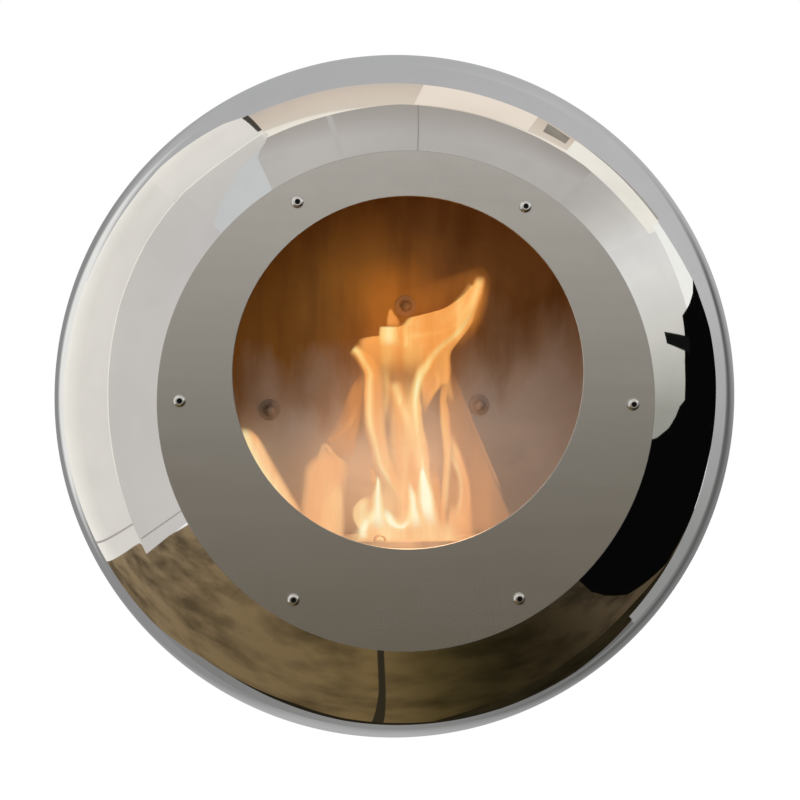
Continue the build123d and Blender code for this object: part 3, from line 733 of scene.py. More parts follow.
FINISHES: tuple[Steel | HeatShieldSteel | RingScrewSteel | Rubber, ...] = (
    Steel("mirror_steel", (0.90, 0.895, 0.885), 0.02, Grain.SPUN, 0.000001, 0.03, smudge=0.005),
    Steel("satin_steel", (0.56, 0.545, 0.515), 0.25, Grain.ACROSS, 0.000006, 0.08, smudge=0.03),
    HeatShieldSteel("tinted_steel"),
    Steel(
        "shelf_steel", (0.44, 0.41, 0.38), 0.38, Grain.ACROSS, 0.000006, 0.10,
        tint=0.35, hot_spot=(0.0, -0.12, -0.15), hot_reach=0.14,
    ),
    # Painted firelight: the burner steel's peach colour stands in for the low flames' light on it.
    Steel(
        "burner_steel", (0.80, 0.61, 0.45), 0.36, Grain.ACROSS, 0.000006, 0.10, metallic=0.4,
        tint=0.3, hot_spot=(0.0, -0.113, -0.133), hot_reach=0.09,
    ),
    Steel(
        "gauze_steel", (0.30, 0.27, 0.25), 0.45, smudge=0.2,
        tint=0.8, hot_spot=(0.0, -0.113, -0.15), hot_reach=0.08,
    ),
    RingScrewSteel("bright_screw"),
    Steel("fastener_steel", (0.62, 0.62, 0.61), 0.30, smudge=0.1),
    Steel(
        "tinted_fastener", (0.45, 0.375, 0.33), 0.70, smudge=0.1, metallic=0.5,
        tint=0.7, hot_spot=HOT_SPOT, hot_reach=0.05, straw=(0.55, 0.27, 0.07),
    ),
    Steel("zinc_steel", (0.58, 0.60, 0.62), 0.36, Grain.ACROSS, 0.000004, 0.08, fineness=0.4, smudge=0.16),
    Rubber("black_rubber"),
)


# Mesh helpers


def mesh_object(
    name: str, points: np.ndarray, faces: np.ndarray, crease: float = 0.0
) -> Piece:
    """Makes an object from arrays.

    Args:
        name: the object's name.
        points: its points, one row each.
        faces: its faces, one row of point numbers each; a triangle repeats its last number.
        crease: the angle in degrees past which an edge is sharp, or 0 for none.

    Returns:
        The object, in the scene.
    """
    mesh = bpy.data.meshes.new(name)
    rows = [list(dict.fromkeys(row)) for row in faces.tolist()]
    mesh.from_pydata(points.tolist(), [], rows)
    mesh.polygons.foreach_set("use_smooth", np.ones(len(rows), bool))
    if crease:
        mesh.set_sharp_from_angle(angle=math.radians(crease))
    mesh.update()
    return in_scene(name, mesh)


def in_scene(name: str, data: bpy.types.ID) -> Piece:
    """Puts a new object with its data into the scene.

    Args:
        name: the object's name.
        data: its mesh, lamp or camera.

    Returns:
        The object, at the origin.
    """
    made = bpy.data.objects.new(name, data)
    bpy.context.scene.collection.objects.link(made)
    return made


def loop_faces(rows: int, columns: int) -> np.ndarray:
    """Faces of a grid that closes on itself along its columns.

    Point (i, j) has the number i * columns + j, and each face joins two rows and two columns.

    Args:
        rows: how many rows of points there are.
        columns: how many points each row has.

    Returns:
        The faces, four point numbers each.
    """
    i, j = np.meshgrid(np.arange(rows - 1), np.arange(columns), indexing="ij")
    k = (j + 1) % columns
    quads = np.stack([i * columns + j, i * columns + k, (i + 1) * columns + k, (i + 1) * columns + j], -1)
    return quads.reshape(-1, 4)


def revolve(name: str, profile: np.ndarray, columns: int, crease: float) -> Piece:
    """Turns a closed outline round the Y axis.

    A point (r, y) of the outline goes to (r cos a, y, r sin a) for each angle a.

    Args:
        name: the object's name.
        profile: the outline's points, each a radius and a y.
        columns: how many angles there are in a full turn.
        crease: the angle in degrees past which an edge is sharp.

    Returns:
        The object.
    """
    angles = np.linspace(0.0, 2.0 * np.pi, columns, endpoint=False)
    rows = np.vstack([profile, profile[:1]])
    radius, depth = rows[:, :1], rows[:, 1:]
    depths = np.broadcast_to(depth, (len(rows), columns))
    points = np.stack([radius * np.cos(angles), depths, radius * np.sin(angles)], -1)
    faces = loop_faces(len(rows), columns) % ((len(rows) - 1) * columns)
    return mesh_object(name, points[:-1].reshape(-1, 3), faces, crease)


def through(points: tuple[Point2, ...], share: np.ndarray) -> np.ndarray:
    """A smooth line through given points: a Catmull-Rom cubic, evenly timed from first to last.

    Each run is 0.5 (2b + (c - a) u + (2a - 5b + 4c - d) u^2 + (3b - a - 3c + d) u^3).

    Args:
        points: the points that the line passes.
        share: how far along each result lies, from 0 to 1.

    Returns:
        One point for each share.
    """
    given = np.array(points, float)
    padded = np.vstack([2 * given[0] - given[1], given, 2 * given[-1] - given[-2]])
    along = np.clip(share, 0.0, 1.0) * (len(given) - 1)
    run = np.minimum(along.astype(int), len(given) - 2)
    u = (along - run)[:, None]
    a, b, c, d = (padded[run + n] for n in range(4))
    square, cube = 2 * a - 5 * b + 4 * c - d, 3 * b - a - 3 * c + d
    return 0.5 * (2 * b + (c - a) * u + square * u**2 + cube * u**3)


def ease(value: np.ndarray, low: float, high: float) -> np.ndarray:
    """A smooth step from 0 at low to 1 at high."""
    t = np.clip((value - low) / (high - low), 0.0, 1.0)
    return t * t * (3.0 - 2.0 * t)


# The fireplace's own pieces


@dataclass
class MirrorDome:
    """The polished front shell, as one smooth surface of revolution."""

    wall: float = 0.002
    equator: float = 0.182
    front_rise: float = 0.093
    back_rise: float = 0.230
    ring_radius: float = 0.211
    flange_radius: float = 0.175
    columns: int = 360
    dome_rows: int = 72
    skirt_rows: int = 12

    def arc(self, radius: float, rise: float, start: float, end: float, count: int) -> np.ndarray:
        """Part of an ellipse: r = radius cos a, y = -(equator + rise sin a).

        Args:
            radius: the half width across the shell's axis.
            rise: the half width along it, negative towards the wall.
            start: the first angle, in radians from the widest circle.
            end: the last angle.
            count: how many points there are.

        Returns:
            The points, each a radius and a y.
        """
        a = np.linspace(start, end, count)
        return np.stack([radius * np.cos(a), -(self.equator + rise * np.sin(a))], -1)

    def build(self) -> Piece:
        """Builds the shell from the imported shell's radius, front and rim.

        Returns:
            The piece.
        """
        low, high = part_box("front_shell")
        radius, face, rim = high.x, -low.y, -high.y
        inner = radius - self.wall
        at_ring = math.acos(self.ring_radius / radius)
        at_flange = math.asin((face - self.wall - self.equator) / (self.front_rise - self.wall))
        behind = self.equator - rim
        outer_rim = math.asin(behind / self.back_rise)
        inner_rim = math.asin(behind / (self.back_rise - self.wall))
        flange = np.array([[self.flange_radius, -face + self.wall], [self.flange_radius, -face]])
        profile = np.vstack([
            flange,
            self.arc(radius, self.front_rise, at_ring, 0.0, self.dome_rows),
            self.arc(radius, -self.back_rise, 0.0, outer_rim, self.skirt_rows)[1:],
            self.arc(inner, self.wall - self.back_rise, inner_rim, 0.0, self.skirt_rows),
            self.arc(inner, self.front_rise - self.wall, 0.0, at_flange, self.dome_rows)[1:],
        ])
        return revolve("mirror_dome", profile, self.columns, 12.0)


@dataclass
class WoolBlock:
    """Ceramic fibre in the tank: a matted block with rounded edges and an uneven top."""

    corner: float = 0.0085
    edge: float = 0.004
    lump: float = 0.0009
    columns: int = 220
    side_rows: int = 14
    top_rows: int = 30

    def ring(self, half_x: float, half_y: float, corner: float, count: int) -> np.ndarray:
        """A rounded rectangle, as a superellipse: |x/a|^n + |y/b|^n = 1 with a high n.

        Args:
            half_x: half its width.
            half_y: half its depth.
            corner: about how round its corners are, in metres.
            count: how many points there are.

        Returns:
            The points.
        """
        power = 2.0 / (2.0 + 0.55 * half_y / corner)
        a = np.linspace(0.0, 2.0 * np.pi, count, endpoint=False)
        x = half_x * np.sign(np.cos(a)) * np.abs(np.cos(a)) ** power
        y = half_y * np.sign(np.sin(a)) * np.abs(np.sin(a)) ** power
        return np.stack([x, y], -1)

    def build(self) -> Piece:
        """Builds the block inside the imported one's box.

        Rings shrink to a point on the underside and on the top, and the top is displaced by a sum
        of sines whose directions and phases are drawn from a fixed seed.

        Returns:
            The piece.
        """
        low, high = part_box("ceramic_wool")
        centre = (low + high) / 2
        outline = self.ring((high.x - low.x) / 2, (high.y - low.y) / 2, self.corner, self.columns)
        turn = np.linspace(0.0, np.pi / 2, 6)
        inset = self.edge / ((high.y - low.y) / 2)
        flat = np.linspace(0.02, 1.0 - inset, self.top_rows)
        scale = np.concatenate([
            flat, 1.0 - inset + inset * np.sin(turn)[1:], np.ones(self.side_rows),
            1.0 - inset + inset * np.cos(turn)[1:], flat[::-1][1:],
        ])
        height = np.concatenate([
            np.full(len(flat), low.z), low.z + self.edge * (1.0 - np.cos(turn))[1:],
            np.linspace(low.z + self.edge, high.z - self.edge, self.side_rows + 2)[1:-1],
            high.z - self.edge * (1.0 - np.sin(turn))[1:], np.full(len(flat) - 1, high.z),
        ])
        points = np.empty((len(scale), self.columns, 3))
        points[..., :2] = outline * scale[:, None, None] + (centre.x, centre.y)
        points[..., 2] = height[:, None]
        random = np.random.default_rng(7)
        lumps = sum(
            np.sin(points[..., :2] @ direction + phase)
            for direction, phase in zip(random.normal(0, 420.0, (14, 2)), random.uniform(0, 6.28, 14))
        )
        upper = ease(points[..., 2], high.z - 2 * self.edge, high.z)
        points[..., 2] -= self.lump * upper * (1.0 + lumps / 6.0).clip(0.0, 2.0)
        poles = np.array([[centre.x, centre.y, low.z], [centre.x, centre.y, points[-1, :, 2].mean()]])
        count = len(scale) * self.columns
        j = np.arange(self.columns)
        k = (j + 1) % self.columns
        last = count - self.columns
        foot = np.stack([np.full_like(j, count), k, j, j], -1)
        head = np.stack([np.full_like(j, count + 1), last + j, last + k, last + k], -1)
        faces = np.vstack([loop_faces(len(scale), self.columns), foot, head])
        return mesh_object("wool_block", np.vstack([points.reshape(-1, 3), poles]), faces)


@dataclass(frozen=True)
class Tongue:
    """One tongue of flame: two edges in millimetres, each a line of (x, z) points from its root up."""

    name: str
    left: tuple[Point2, ...]
    right: tuple[Point2, ...]
    depth: float = 113.0
    thickness: float = 6.0
    glow: float = 0.45
    core: float = 0.0
    veil: float = 0.7
    soft: Point2 = (0.5, 0.5)
    fade_in: float = 0.08
    fade_out: float = 0.25


def strand(
    name: str,
    line: tuple[Point2, ...],
    width: float,
    depth: float,
    glow: float,
    core: float = 0.15,
    veil: float = 0.4,
    fade_in: float = 0.2,
    fade_out: float = 0.35,
) -> Tongue:
    """A thin bright ridge along a line: its edges lie half a width to each side, across its run.

    Args:
        name: the tongue's name.
        line: the ridge's points, from its root up.
        width: how wide it is, in millimetres.
        depth: how far it stands off the wall, in millimetres.
        glow: how hot it glows at its edges.
        core: how much hotter its middle is.
        veil: how thick it looks in its middle.
        fade_in: the share of its length over which it thickens from its root.
        fade_out: the share over which it thins towards its tip.

    Returns:
        The tongue.
    """
    points = np.array(line, float)
    run = np.gradient(points, axis=0)
    side = np.stack([-run[:, 1], run[:, 0]], -1) / np.linalg.norm(run, axis=1, keepdims=True)
    left, right = (tuple(map(tuple, points + way * side * width / 2)) for way in (1, -1))
    return Tongue(name, left, right, depth, 2.0, glow, core, veil, (0.98, 0.98), fade_in, fade_out)


TONGUES: tuple[Tongue, ...] = (
    Tongue(
        "aura",
        ((-13, 54), (-19, 69), (-15, 85), (-1, 97), (25, 105), (51, 113), (72, 119), (84, 122)),
        ((56, 50), (73, 62), (85, 74), (91, 87), (93, 100), (93, 111), (89, 118), (85, 122)),
        100.0, glow=-0.1, veil=0.14, soft=(0.95, 0.9), fade_in=0.6, fade_out=0.4,
    ),
    Tongue(
        "tip_aura",
        ((43, 51), (55, 67), (64, 82), (67, 99), (65, 115)),
        ((64, 34), (80, 55), (89, 78), (93, 100), (94, 119)),
        101.0, glow=0.05, core=0.1, veil=0.42, soft=(0.95, 0.95), fade_in=0.4, fade_out=0.4,
    ),
    Tongue(
        "tip_glow",
        ((44, 67), (55, 78), (64, 90), (71, 103), (75, 112)),
        ((62, 50), (73, 69), (80, 85), (84, 99), (86, 112)),
        114.0, thickness=2.0, glow=0.5, core=0.22, veil=0.8, soft=(0.7, 0.7), fade_in=0.5,
        fade_out=0.22,
    ),
    Tongue(
        "right_haze",
        ((38, -140), (45, -109), (49, -82), (47, -56), (46, -30), (44, -12), (50, 8), (49, 22),
         (50, 34)),
        ((118, -127), (112, -106), (100, -80), (90, -56), (78, -30), (71, -9), (62, 12), (57, 25),
         (54, 35)),
        103.0, glow=0.1, veil=0.26, soft=(0.3, 0.16), fade_in=0.05, fade_out=0.6,
    ),
    strand(
        "right_line",
        ((107, -95), (95, -68), (84, -43), (74, -21), (67, 3)),
        4.0, 104.0, glow=0.3, core=0.1, veil=0.2,
    ),
    Tongue(
        "left_haze",
        ((-66, -67), (-62, -45), (-56, -31), (-50, -18), (-45, -5), (-40, 6), (-34, 15), (-28, 23)),
        ((-35, -67), (-31, -48), (-28, -29), (-26, -12), (-26, 0), (-26, 9), (-26, 16), (-26, 23)),
        103.0, glow=0.2, veil=0.32, soft=(0.8, 0.35), fade_in=0.15, fade_out=0.4,
    ),
    strand(
        "haze_line",
        ((-62, -44), (-52, -39), (-42, -31), (-36, -20), (-33, -8)),
        8.0, 105.0, glow=0.3, core=0.1, veil=0.2,
    ),
    Tongue(
        "low_haze",
        ((-103, -140), (-101, -115), (-93, -89), (-82, -67), (-61, -48)),
        ((113, -140), (109, -115), (93, -93), (63, -69), (24, -47)),
        103.0, glow=0.35, veil=0.13, soft=(0.4, 0.4), fade_in=0.03, fade_out=0.85,
    ),
    Tongue(
        "cusp",
        ((-85, -140), (-86, -116), (-85, -98), (-83, -83), (-82, -68), (-77, -60), (-70, -56),
         (-65, -50), (-63, -45)),
        ((-41, -140), (-41, -124), (-41, -111), (-40, -97), (-38, -84), (-36, -73), (-38, -64),
         (-50, -55), (-62, -45)),
        106.0, glow=0.48, veil=0.62, soft=(0.5, 0.7), fade_in=0.05, fade_out=0.3,
    ),
    Tongue(
        "cusp_core",
        ((-74, -139), (-69, -116), (-64, -97), (-55, -82), (-49, -74)),
        ((-41, -139), (-41, -116), (-42, -100), (-45, -88), (-48, -75)),
        108.0, glow=0.62, veil=0.5, soft=(0.8, 0.5), fade_in=0.05, fade_out=0.4,
    ),
    strand(
        "cusp_line",
        ((-40, -65), (-48, -60), (-54, -54), (-59, -48), (-63, -44)),
        6.0, 109.0, glow=0.5, core=0.15, veil=0.36, fade_in=0.3, fade_out=0.2,
    ),
    strand(
        "cusp_edge",
        ((-66, -69), (-66, -59), (-64, -50), (-63, -44)),
        7.0, 109.0, glow=0.5, core=0.12, veil=0.28, fade_in=0.5, fade_out=0.2,
    ),
    Tongue(
        "side_lick",
        ((-100, -128), (-120, -103), (-136, -76), (-147, -54), (-148, -39), (-140, -28)),
        ((-78, -114), (-86, -98), (-98, -78), (-111, -56), (-120, -41), (-130, -30)),
        112.0, glow=0.46, core=0.34, veil=0.82, soft=(0.4, 0.4), fade_in=0.1, fade_out=0.22,
    ),
    Tongue(
        "leg_near",
        ((47, -129), (46, -106), (47, -85), (48, -69), (48, -56), (47, -40), (45, -23), (44, -9),
         (44, 0), (45, 10), (46, 22), (48, 34)),
        ((52, -129), (51, -106), (52, -87), (54, -69), (55, -56), (56, -43), (55, -30), (54, -16),
         (51, -4), (52, 3), (52, 12), (53, 23), (53, 34)),
        108.0, glow=0.42, veil=0.48, soft=(0.5, 0.5), fade_in=0.1, fade_out=0.3,
    ),
    strand(
        "leg_line_near",
        ((49, -121), (50, -103), (51, -84), (52, -69), (52, -56), (50, -40), (48, -23), (47, -9),
         (46, 4)),
        10.0, 109.0, glow=0.48, core=0.14, veil=0.4,
    ),
    Tongue(
        "leg_far",
        ((58, -129), (62, -110), (64, -96), (65, -84), (64, -74), (60, -64), (57, -55), (55, -47),
         (55, -35)),
        ((80, -129), (78, -110), (76, -94), (74, -79), (70, -66), (66, -54), (62, -44), (58, -35),
         (55, -30)),
        110.0, glow=0.44, veil=0.5, soft=(0.3, 0.75), fade_in=0.1, fade_out=0.35,
    ),
    strand(
        "leg_line_far",
        ((60, -118), (63, -105), (65, -94), (65, -83), (63, -72), (59, -62), (55, -52), (53, -41)),
        8.0, 111.0, glow=0.5, core=0.12, veil=0.4,
    ),
    strand(
        "leg_line_out",
        ((71, -116), (72, -97), (70, -82), (66, -67), (61, -54), (56, -44), (53, -30)),
        6.5, 111.0, glow=0.45, core=0.12, veil=0.35,
    ),
    Tongue(
        "fold",
        ((30, -21), (28, -7), (26, 8), (27, 19), (32, 29), (38, 38), (44, 45), (52, 52), (61, 60),
         (67, 67), (73, 76), (76, 87)),
        ((30, -21), (34, -10), (41, 2), (47, 9), (54, 12), (55, 23), (54, 34), (55, 41), (61, 50),
         (67, 58), (73, 67), (77, 79)),
        109.0, glow=0.48, veil=0.6, soft=(0.3, 0.4), fade_in=0.2, fade_out=0.12,
    ),
    strand(
        "fold_line",
        ((30, -8), (37, 3), (42, 10), (41, 19), (35, 27)),
        8.0, 110.0, glow=0.5, core=0.12, veil=0.35,
    ),
    strand(
        "fold_edge",
        ((56, -10), (53, 5), (50, 20), (49, 32), (50, 43), (55, 50)),
        9.0, 110.0, glow=0.46, core=0.1, veil=0.3,
    ),
    Tongue(
        "sail",
        ((-22, -5), (-23, 12), (-24, 23), (-29, 32), (-33, 42), (-33, 51), (-24, 54), (-15, 55),
         (-12, 61), (5, 64), (12, 71), (23, 74), (42, 79), (52, 84), (63, 92), (71, 100), (77, 105)),
        ((24, -4), (26, 15), (32, 26), (37, 35), (44, 44), (52, 51), (60, 58), (66, 65), (71, 73),
         (74, 80), (76, 87), (78, 93), (79, 99), (79, 103), (77, 105)),
        111.0, glow=0.52, veil=0.88, soft=(0.24, 0.16), fade_in=0.35, fade_out=0.05,
    ),
    strand(
        "sail_tip",
        ((36, 64), (47, 70), (57, 77), (65, 85), (72, 94), (76, 102)),
        20.0, 113.0, glow=0.55, core=0.25, veil=0.7, fade_in=0.6, fade_out=0.1,
    ),
    Tongue(
        "peak",
        ((-8, 59), (-7, 70), (-5, 77), (-3, 81)),
        ((11, 59), (6, 70), (1, 75), (-2, 81)),
        111.0, glow=0.36, veil=0.6, soft=(0.5, 0.7), fade_in=0.3, fade_out=0.3,
    ),
    Tongue(
        "left_column",
        ((15, -121), (14, -107), (7, -92), (-3, -78), (-10, -68), (-14, -57), (-18, -44), (-22, -30),
         (-25, -17), (-26, -7), (-27, -1), (-26, 12), (-27, 21), (-31, 31), (-35, 38), (-38, 44)),
        ((24, -121), (20, -102), (15, -87), (8, -74), (2, -61), (-2, -48), (-4, -35), (-5, -20),
         (-6, -2), (-6, 10), (-8, 19), (-11, 28), (-17, 36), (-27, 42), (-37, 44)),
        113.0, glow=0.5, veil=0.62, soft=(0.18, 0.75), fade_in=0.08, fade_out=0.06,
    ),
    Tongue(
        "middle_column",
        ((-3, -128), (2, -110), (2, -95), (-1, -79), (-4, -62), (-5, -43), (-5, -23), (-5, -7),
         (-5, 7), (-2, 19), (0, 29)),
        ((48, -128), (45, -108), (40, -92), (37, -79), (36, -63), (35, -52), (33, -41), (30, -30),
         (28, -19), (28, -10), (26, -2), (24, 10), (24, 19)),
        114.0, glow=0.54, veil=0.68, soft=(0.6, 0.2), fade_in=0.08, fade_out=0.35,
    ),
    strand(
        "ridge_left",
        ((14, -114), (10, -100), (3, -87), (-5, -75), (-11, -64), (-14, -53), (-17, -41), (-20, -30),
         (-22, -17), (-22, -5), (-22, 2), (-22, 12), (-22, 21), (-26, 29), (-30, 36), (-34, 41),
         (-38, 44)),
        15.0, 117.0, glow=0.5, core=0.34, veil=0.78, fade_in=0.55, fade_out=0.05,
    ),
    strand(
        "ridge_foot",
        ((16, -115), (11, -101), (4, -88), (-4, -76), (-10, -64)),
        5.0, 117.0, glow=0.5, core=0.12, veil=0.4, fade_in=0.3, fade_out=0.5,
    ),
    strand(
        "ridge_right",
        ((30, -76), (26, -60), (24, -48), (22, -35), (21, -23), (20, -11), (20, -4), (21, 5), (23, 14),
         (26, 23), (32, 31), (37, 39), (44, 46), (51, 52), (59, 59), (65, 67), (70, 75), (73, 84),
         (75, 94)),
        14.0, 118.0, glow=0.52, core=0.32, veil=0.78, fade_in=0.3, fade_out=0.35,
    ),
    strand(
        "ridge_right_low",
        ((36, -102), (31, -84), (26, -64), (22, -48), (20, -32), (19, -18), (20, -4), (21, 1)),
        19.0, 117.0, glow=0.64, core=0.28, veil=0.72, fade_in=0.3, fade_out=0.5,
    ),
    strand(
        "ridge_bend",
        ((24, 8), (26, 19), (31, 27), (35, 35), (41, 42)),
        11.0, 119.0, glow=0.6, core=0.25, veil=0.5, fade_in=0.4, fade_out=0.4,
    ),
    strand(
        "ridge_middle",
        ((19, -42), (16, -30), (12, -19), (7, -8), (4, 1), (2, 8), (2, 15)),
        17.0, 117.0, glow=0.56, core=0.3, veil=0.74, fade_in=0.4, fade_out=0.2,
    ),
    strand(
        "ridge_inner",
        ((-5, -28), (-6, -11), (-5, 3), (-6, 16), (-8, 27)),
        12.0, 116.0, glow=0.5, core=0.15, veil=0.4, fade_in=0.4, fade_out=0.4,
    ),
    strand(
        "ridge_top",
        ((7, 54), (16, 55), (26, 56), (38, 58), (47, 60), (54, 65), (60, 70)),
        14.0, 116.0, glow=0.5, core=0.16, veil=0.45,
    ),
    strand(
        "ridge_fork",
        ((10, 43), (11, 50), (10, 59), (12, 68)),
        12.0, 116.0, glow=0.55, core=0.16, veil=0.45,
    ),
    Tongue(
        "bright_patch",
        ((-16, 44), (-15, 51), (-15, 58), (-14, 64)),
        ((9, 44), (6, 51), (5, 58), (4, 64)),
        119.0, thickness=2.0, glow=0.72, core=0.2, veil=0.85, soft=(0.35, 0.4), fade_in=0.6,
        fade_out=0.12,
    ),
    Tongue(
        "lobe",
        ((-27, -126), (-34, -119), (-37, -112), (-37, -104), (-34, -99), (-28, -94), (-22, -92)),
        ((-10, -129), (-13, -120), (-13, -111), (-14, -104), (-15, -99), (-17, -95), (-20, -92)),
        119.0, thickness=3.0, glow=0.62, core=0.12, veil=0.66, soft=(0.3, 0.8), fade_in=0.05,
        fade_out=0.3,
    ),
    Tongue(
        "low_tip",
        ((-20, -86), (-20, -78), (-20, -70), (-19, -65)),
        ((-10, -86), (-13, -78), (-16, -70), (-18, -65)),
        117.0, glow=0.3, veil=0.3, soft=(0.5, 0.6), fade_in=0.3, fade_out=0.3,
    ),
    Tongue(
        "low_core_left",
        ((-29, -128), (-28, -116), (-23, -103), (-20, -91), (-17, -81), (-15, -72)),
        ((5, -125), (-1, -112), (-5, -102), (-8, -91), (-10, -81), (-13, -72)),
        122.0, thickness=3.0, glow=0.78, core=0.3, veil=0.9, soft=(0.95, 0.95), fade_in=0.3,
        fade_out=0.14,
    ),
    strand(
        "low_leg_left",
        ((-25, -132), (-25, -121), (-20, -112), (-15, -102)),
        15.0, 121.0, glow=0.8, core=0.25, veil=0.8, fade_in=0.15, fade_out=0.3,
    ),
    strand(
        "hook",
        ((-8, -102), (-4, -111), (2, -118), (9, -120), (15, -115), (18, -105), (19, -93)),
        14.0, 122.0, glow=0.75, core=0.28, veil=0.85, fade_in=0.2, fade_out=0.25,
    ),
    Tongue(
        "low_core_right",
        ((29, -124), (22, -108), (20, -96), (21, -84), (23, -73), (26, -64)),
        ((51, -124), (44, -108), (41, -96), (37, -84), (32, -73), (28, -64)),
        124.0, thickness=3.0, glow=0.8, core=0.3, veil=0.95, soft=(0.9, 0.9), fade_in=0.4,
        fade_out=0.15,
    ),
    Tongue(
        "low_core_middle",
        ((5, -126), (10, -114), (12, -102), (12, -89), (12, -77)),
        ((39, -126), (32, -112), (26, -102), (23, -89), (18, -77)),
        122.0, thickness=3.0, glow=0.78, core=0.28, veil=0.9, soft=(0.85, 0.85), fade_in=0.35,
        fade_out=0.35,
    ),
    Tongue(
        "low_right",
        ((36, -136), (36, -105), (36, -88), (35, -76), (36, -64)),
        ((57, -136), (50, -107), (46, -92), (44, -76), (39, -63)),
        116.0, glow=0.34, veil=0.4, soft=(0.5, 0.4), fade_in=0.1, fade_out=0.4,
    ),
    Tongue(
        "base_glow",
        ((-47, -138), (-43, -129), (-32, -118), (-16, -107)),
        ((76, -138), (71, -128), (59, -116), (43, -106)),
        120.0, thickness=4.0, glow=0.68, veil=0.8, soft=(0.5, 0.5), fade_in=0.02, fade_out=0.65,
    ),
    Tongue(
        "core_halo",
        ((-38, -136), (-35, -118), (-28, -100), (-22, -83), (-16, -67)),
        ((59, -136), (53, -118), (48, -98), (42, -79), (35, -61)),
        118.0, thickness=4.0, glow=0.6, veil=0.4, soft=(0.6, 0.6), fade_in=0.05, fade_out=0.5,
    ),
    Tongue(
        "right_base",
        ((43, -139), (48, -120), (52, -107), (54, -97)),
        ((81, -139), (78, -123), (69, -109), (61, -98)),
        115.0, thickness=4.0, glow=0.44, veil=0.5, soft=(0.5, 0.5), fade_in=0.03, fade_out=0.5,
    ),
)


@dataclass
class Flames:
    """Flames that stand in the burner's slot, as closed leaf-shaped tongues."""

    rows: int = 84
    columns: int = 44
    slot_level: float = -0.149
    core_width: float = 0.45
    keep: float = 0.05

    def tongue(self, shape: Tongue) -> Piece:
        """Builds one tongue.

        A point is the middle of the two edges, plus half their distance times cos a across and the
        thickness times sin a in depth, so each level is an ellipse. The thickness tapers to both ends.
        The veil falls to 0 towards the edges, the root and the tip. The core adds a bell curve of glow,
        exp(-(cos a / core_width)^2), round the middle.

        Args:
            shape: the tongue's edges and looks.

        Returns:
            The piece.
        """
        t = np.linspace(0.0, 1.0, self.rows)
        a = np.linspace(0.0, 2.0 * np.pi, self.columns, endpoint=False)
        left, right = (through(edge, t) * MM for edge in (shape.left, shape.right))
        middle, half = (left + right) / 2, (right - left) / 2
        taper = np.sqrt(np.clip(np.sin(np.pi * np.clip(t, 0.02, 0.985)), 0.0, 1.0))
        across = np.cos(a)
        points = np.empty((self.rows, self.columns, 3))
        points[..., 0] = middle[:, :1] + half[:, :1] * across
        points[..., 2] = np.maximum(middle[:, 1:] + half[:, 1:] * across, self.slot_level)
        points[..., 1] = -shape.depth * MM + shape.thickness * MM * taper[:, None] * np.sin(a)
        fall = np.where(
            across < 0.0,
            1.0 - ease(-across, 1.0 - shape.soft[0], 1.0),
            1.0 - ease(across, 1.0 - shape.soft[1], 1.0),
        )
        along = ease(t, 0.0, shape.fade_in) * (1.0 - ease(t, 1.0 - shape.fade_out, 1.0))
        veil = shape.veil * fall[None, :] * along[:, None]
        core = shape.core * np.exp(-((across / self.core_width) ** 2))
        glow = np.broadcast_to(shape.glow + core, veil.shape)
        faces = loop_faces(self.rows, self.columns)
        piece = mesh_object(f"flame_{shape.name}", points.reshape(-1, 3), faces)
        self.close(piece)
        for name, values in (("glow", glow), ("veil", veil)):
            layer = piece.data.attributes.new(name, "FLOAT", "POINT")
            layer.data.foreach_set("value", values.astype(np.float32).ravel())
        return piece

    def close(self, piece: Piece) -> None:
        """Closes both ends of a tongue with one face each.

        Args:
            piece: the tongue, whose points run row by row.
        """
        mesh = piece.data
        points = np.empty(len(mesh.vertices) * 3)
        mesh.vertices.foreach_get("co", points)
        faces = [list(p.vertices) for p in mesh.polygons]
        first = list(range(self.columns))[::-1]
        last = [(self.rows - 1) * self.columns + j for j in range(self.columns)]
        mesh.clear_geometry()
        mesh.from_pydata(points.reshape(-1, 3).tolist(), [], faces + [first, last])
        mesh.polygons.foreach_set("use_smooth", np.ones(len(mesh.polygons), bool))
        mesh.update()

    def build(self, material: Material) -> list[Piece]:
        """Builds every tongue and rides it on the burner.

        Args:
            material: the flame's material.

        Returns:
            The pieces.
        """
        made = []
        for shape in TONGUES:
            piece = self.tongue(shape)
            piece.data.materials.append(material)
            piece.visible_shadow = False
            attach(piece, "burner")
            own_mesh(piece)
            made.append(piece)
        return made


class Dressing:
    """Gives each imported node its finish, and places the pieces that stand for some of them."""

    def __init__(self) -> None:
        """Builds the shared effects and every finish."""
        self.effects = Effects()
        self.materials = {finish.name: finish.build(self.effects) for finish in FINISHES}
        self.materials["ceramic_wool"] = Wool("ceramic_wool").build(self.effects)

    def dress_nodes(self) -> None:
        """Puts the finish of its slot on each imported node."""
        for part in frame["record"]["subparts"]:
            node = frame["nodes"][part["node"]]
            finish = self.materials[part["material_slot"]]
            if not node.material_slots:
                node.data.materials.append(finish)
            for place in node.material_slots:
                place.material = finish
            log.info("node %s: %s", part["node"], part["material_slot"])

    def place(self, piece: Piece, body: str, slot: str, node: str) -> None:
        """Rides a piece on a body, in place of a node.

        Args:
            piece: the piece.
            body: the body that it moves with.
            slot: the material slot that it takes its finish from.
            node: the node that it stands for.
        """
        piece.data.materials.append(self.materials[slot])
        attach(piece, body)
        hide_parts(node)
        log.info("piece %s on %s, %d faces", piece.name, body, len(piece.data.polygons))


# Studio


class Axis(Enum):
    """One of the three directions, as its place in a point."""

    X = 0
    Y = 1
    Z = 2


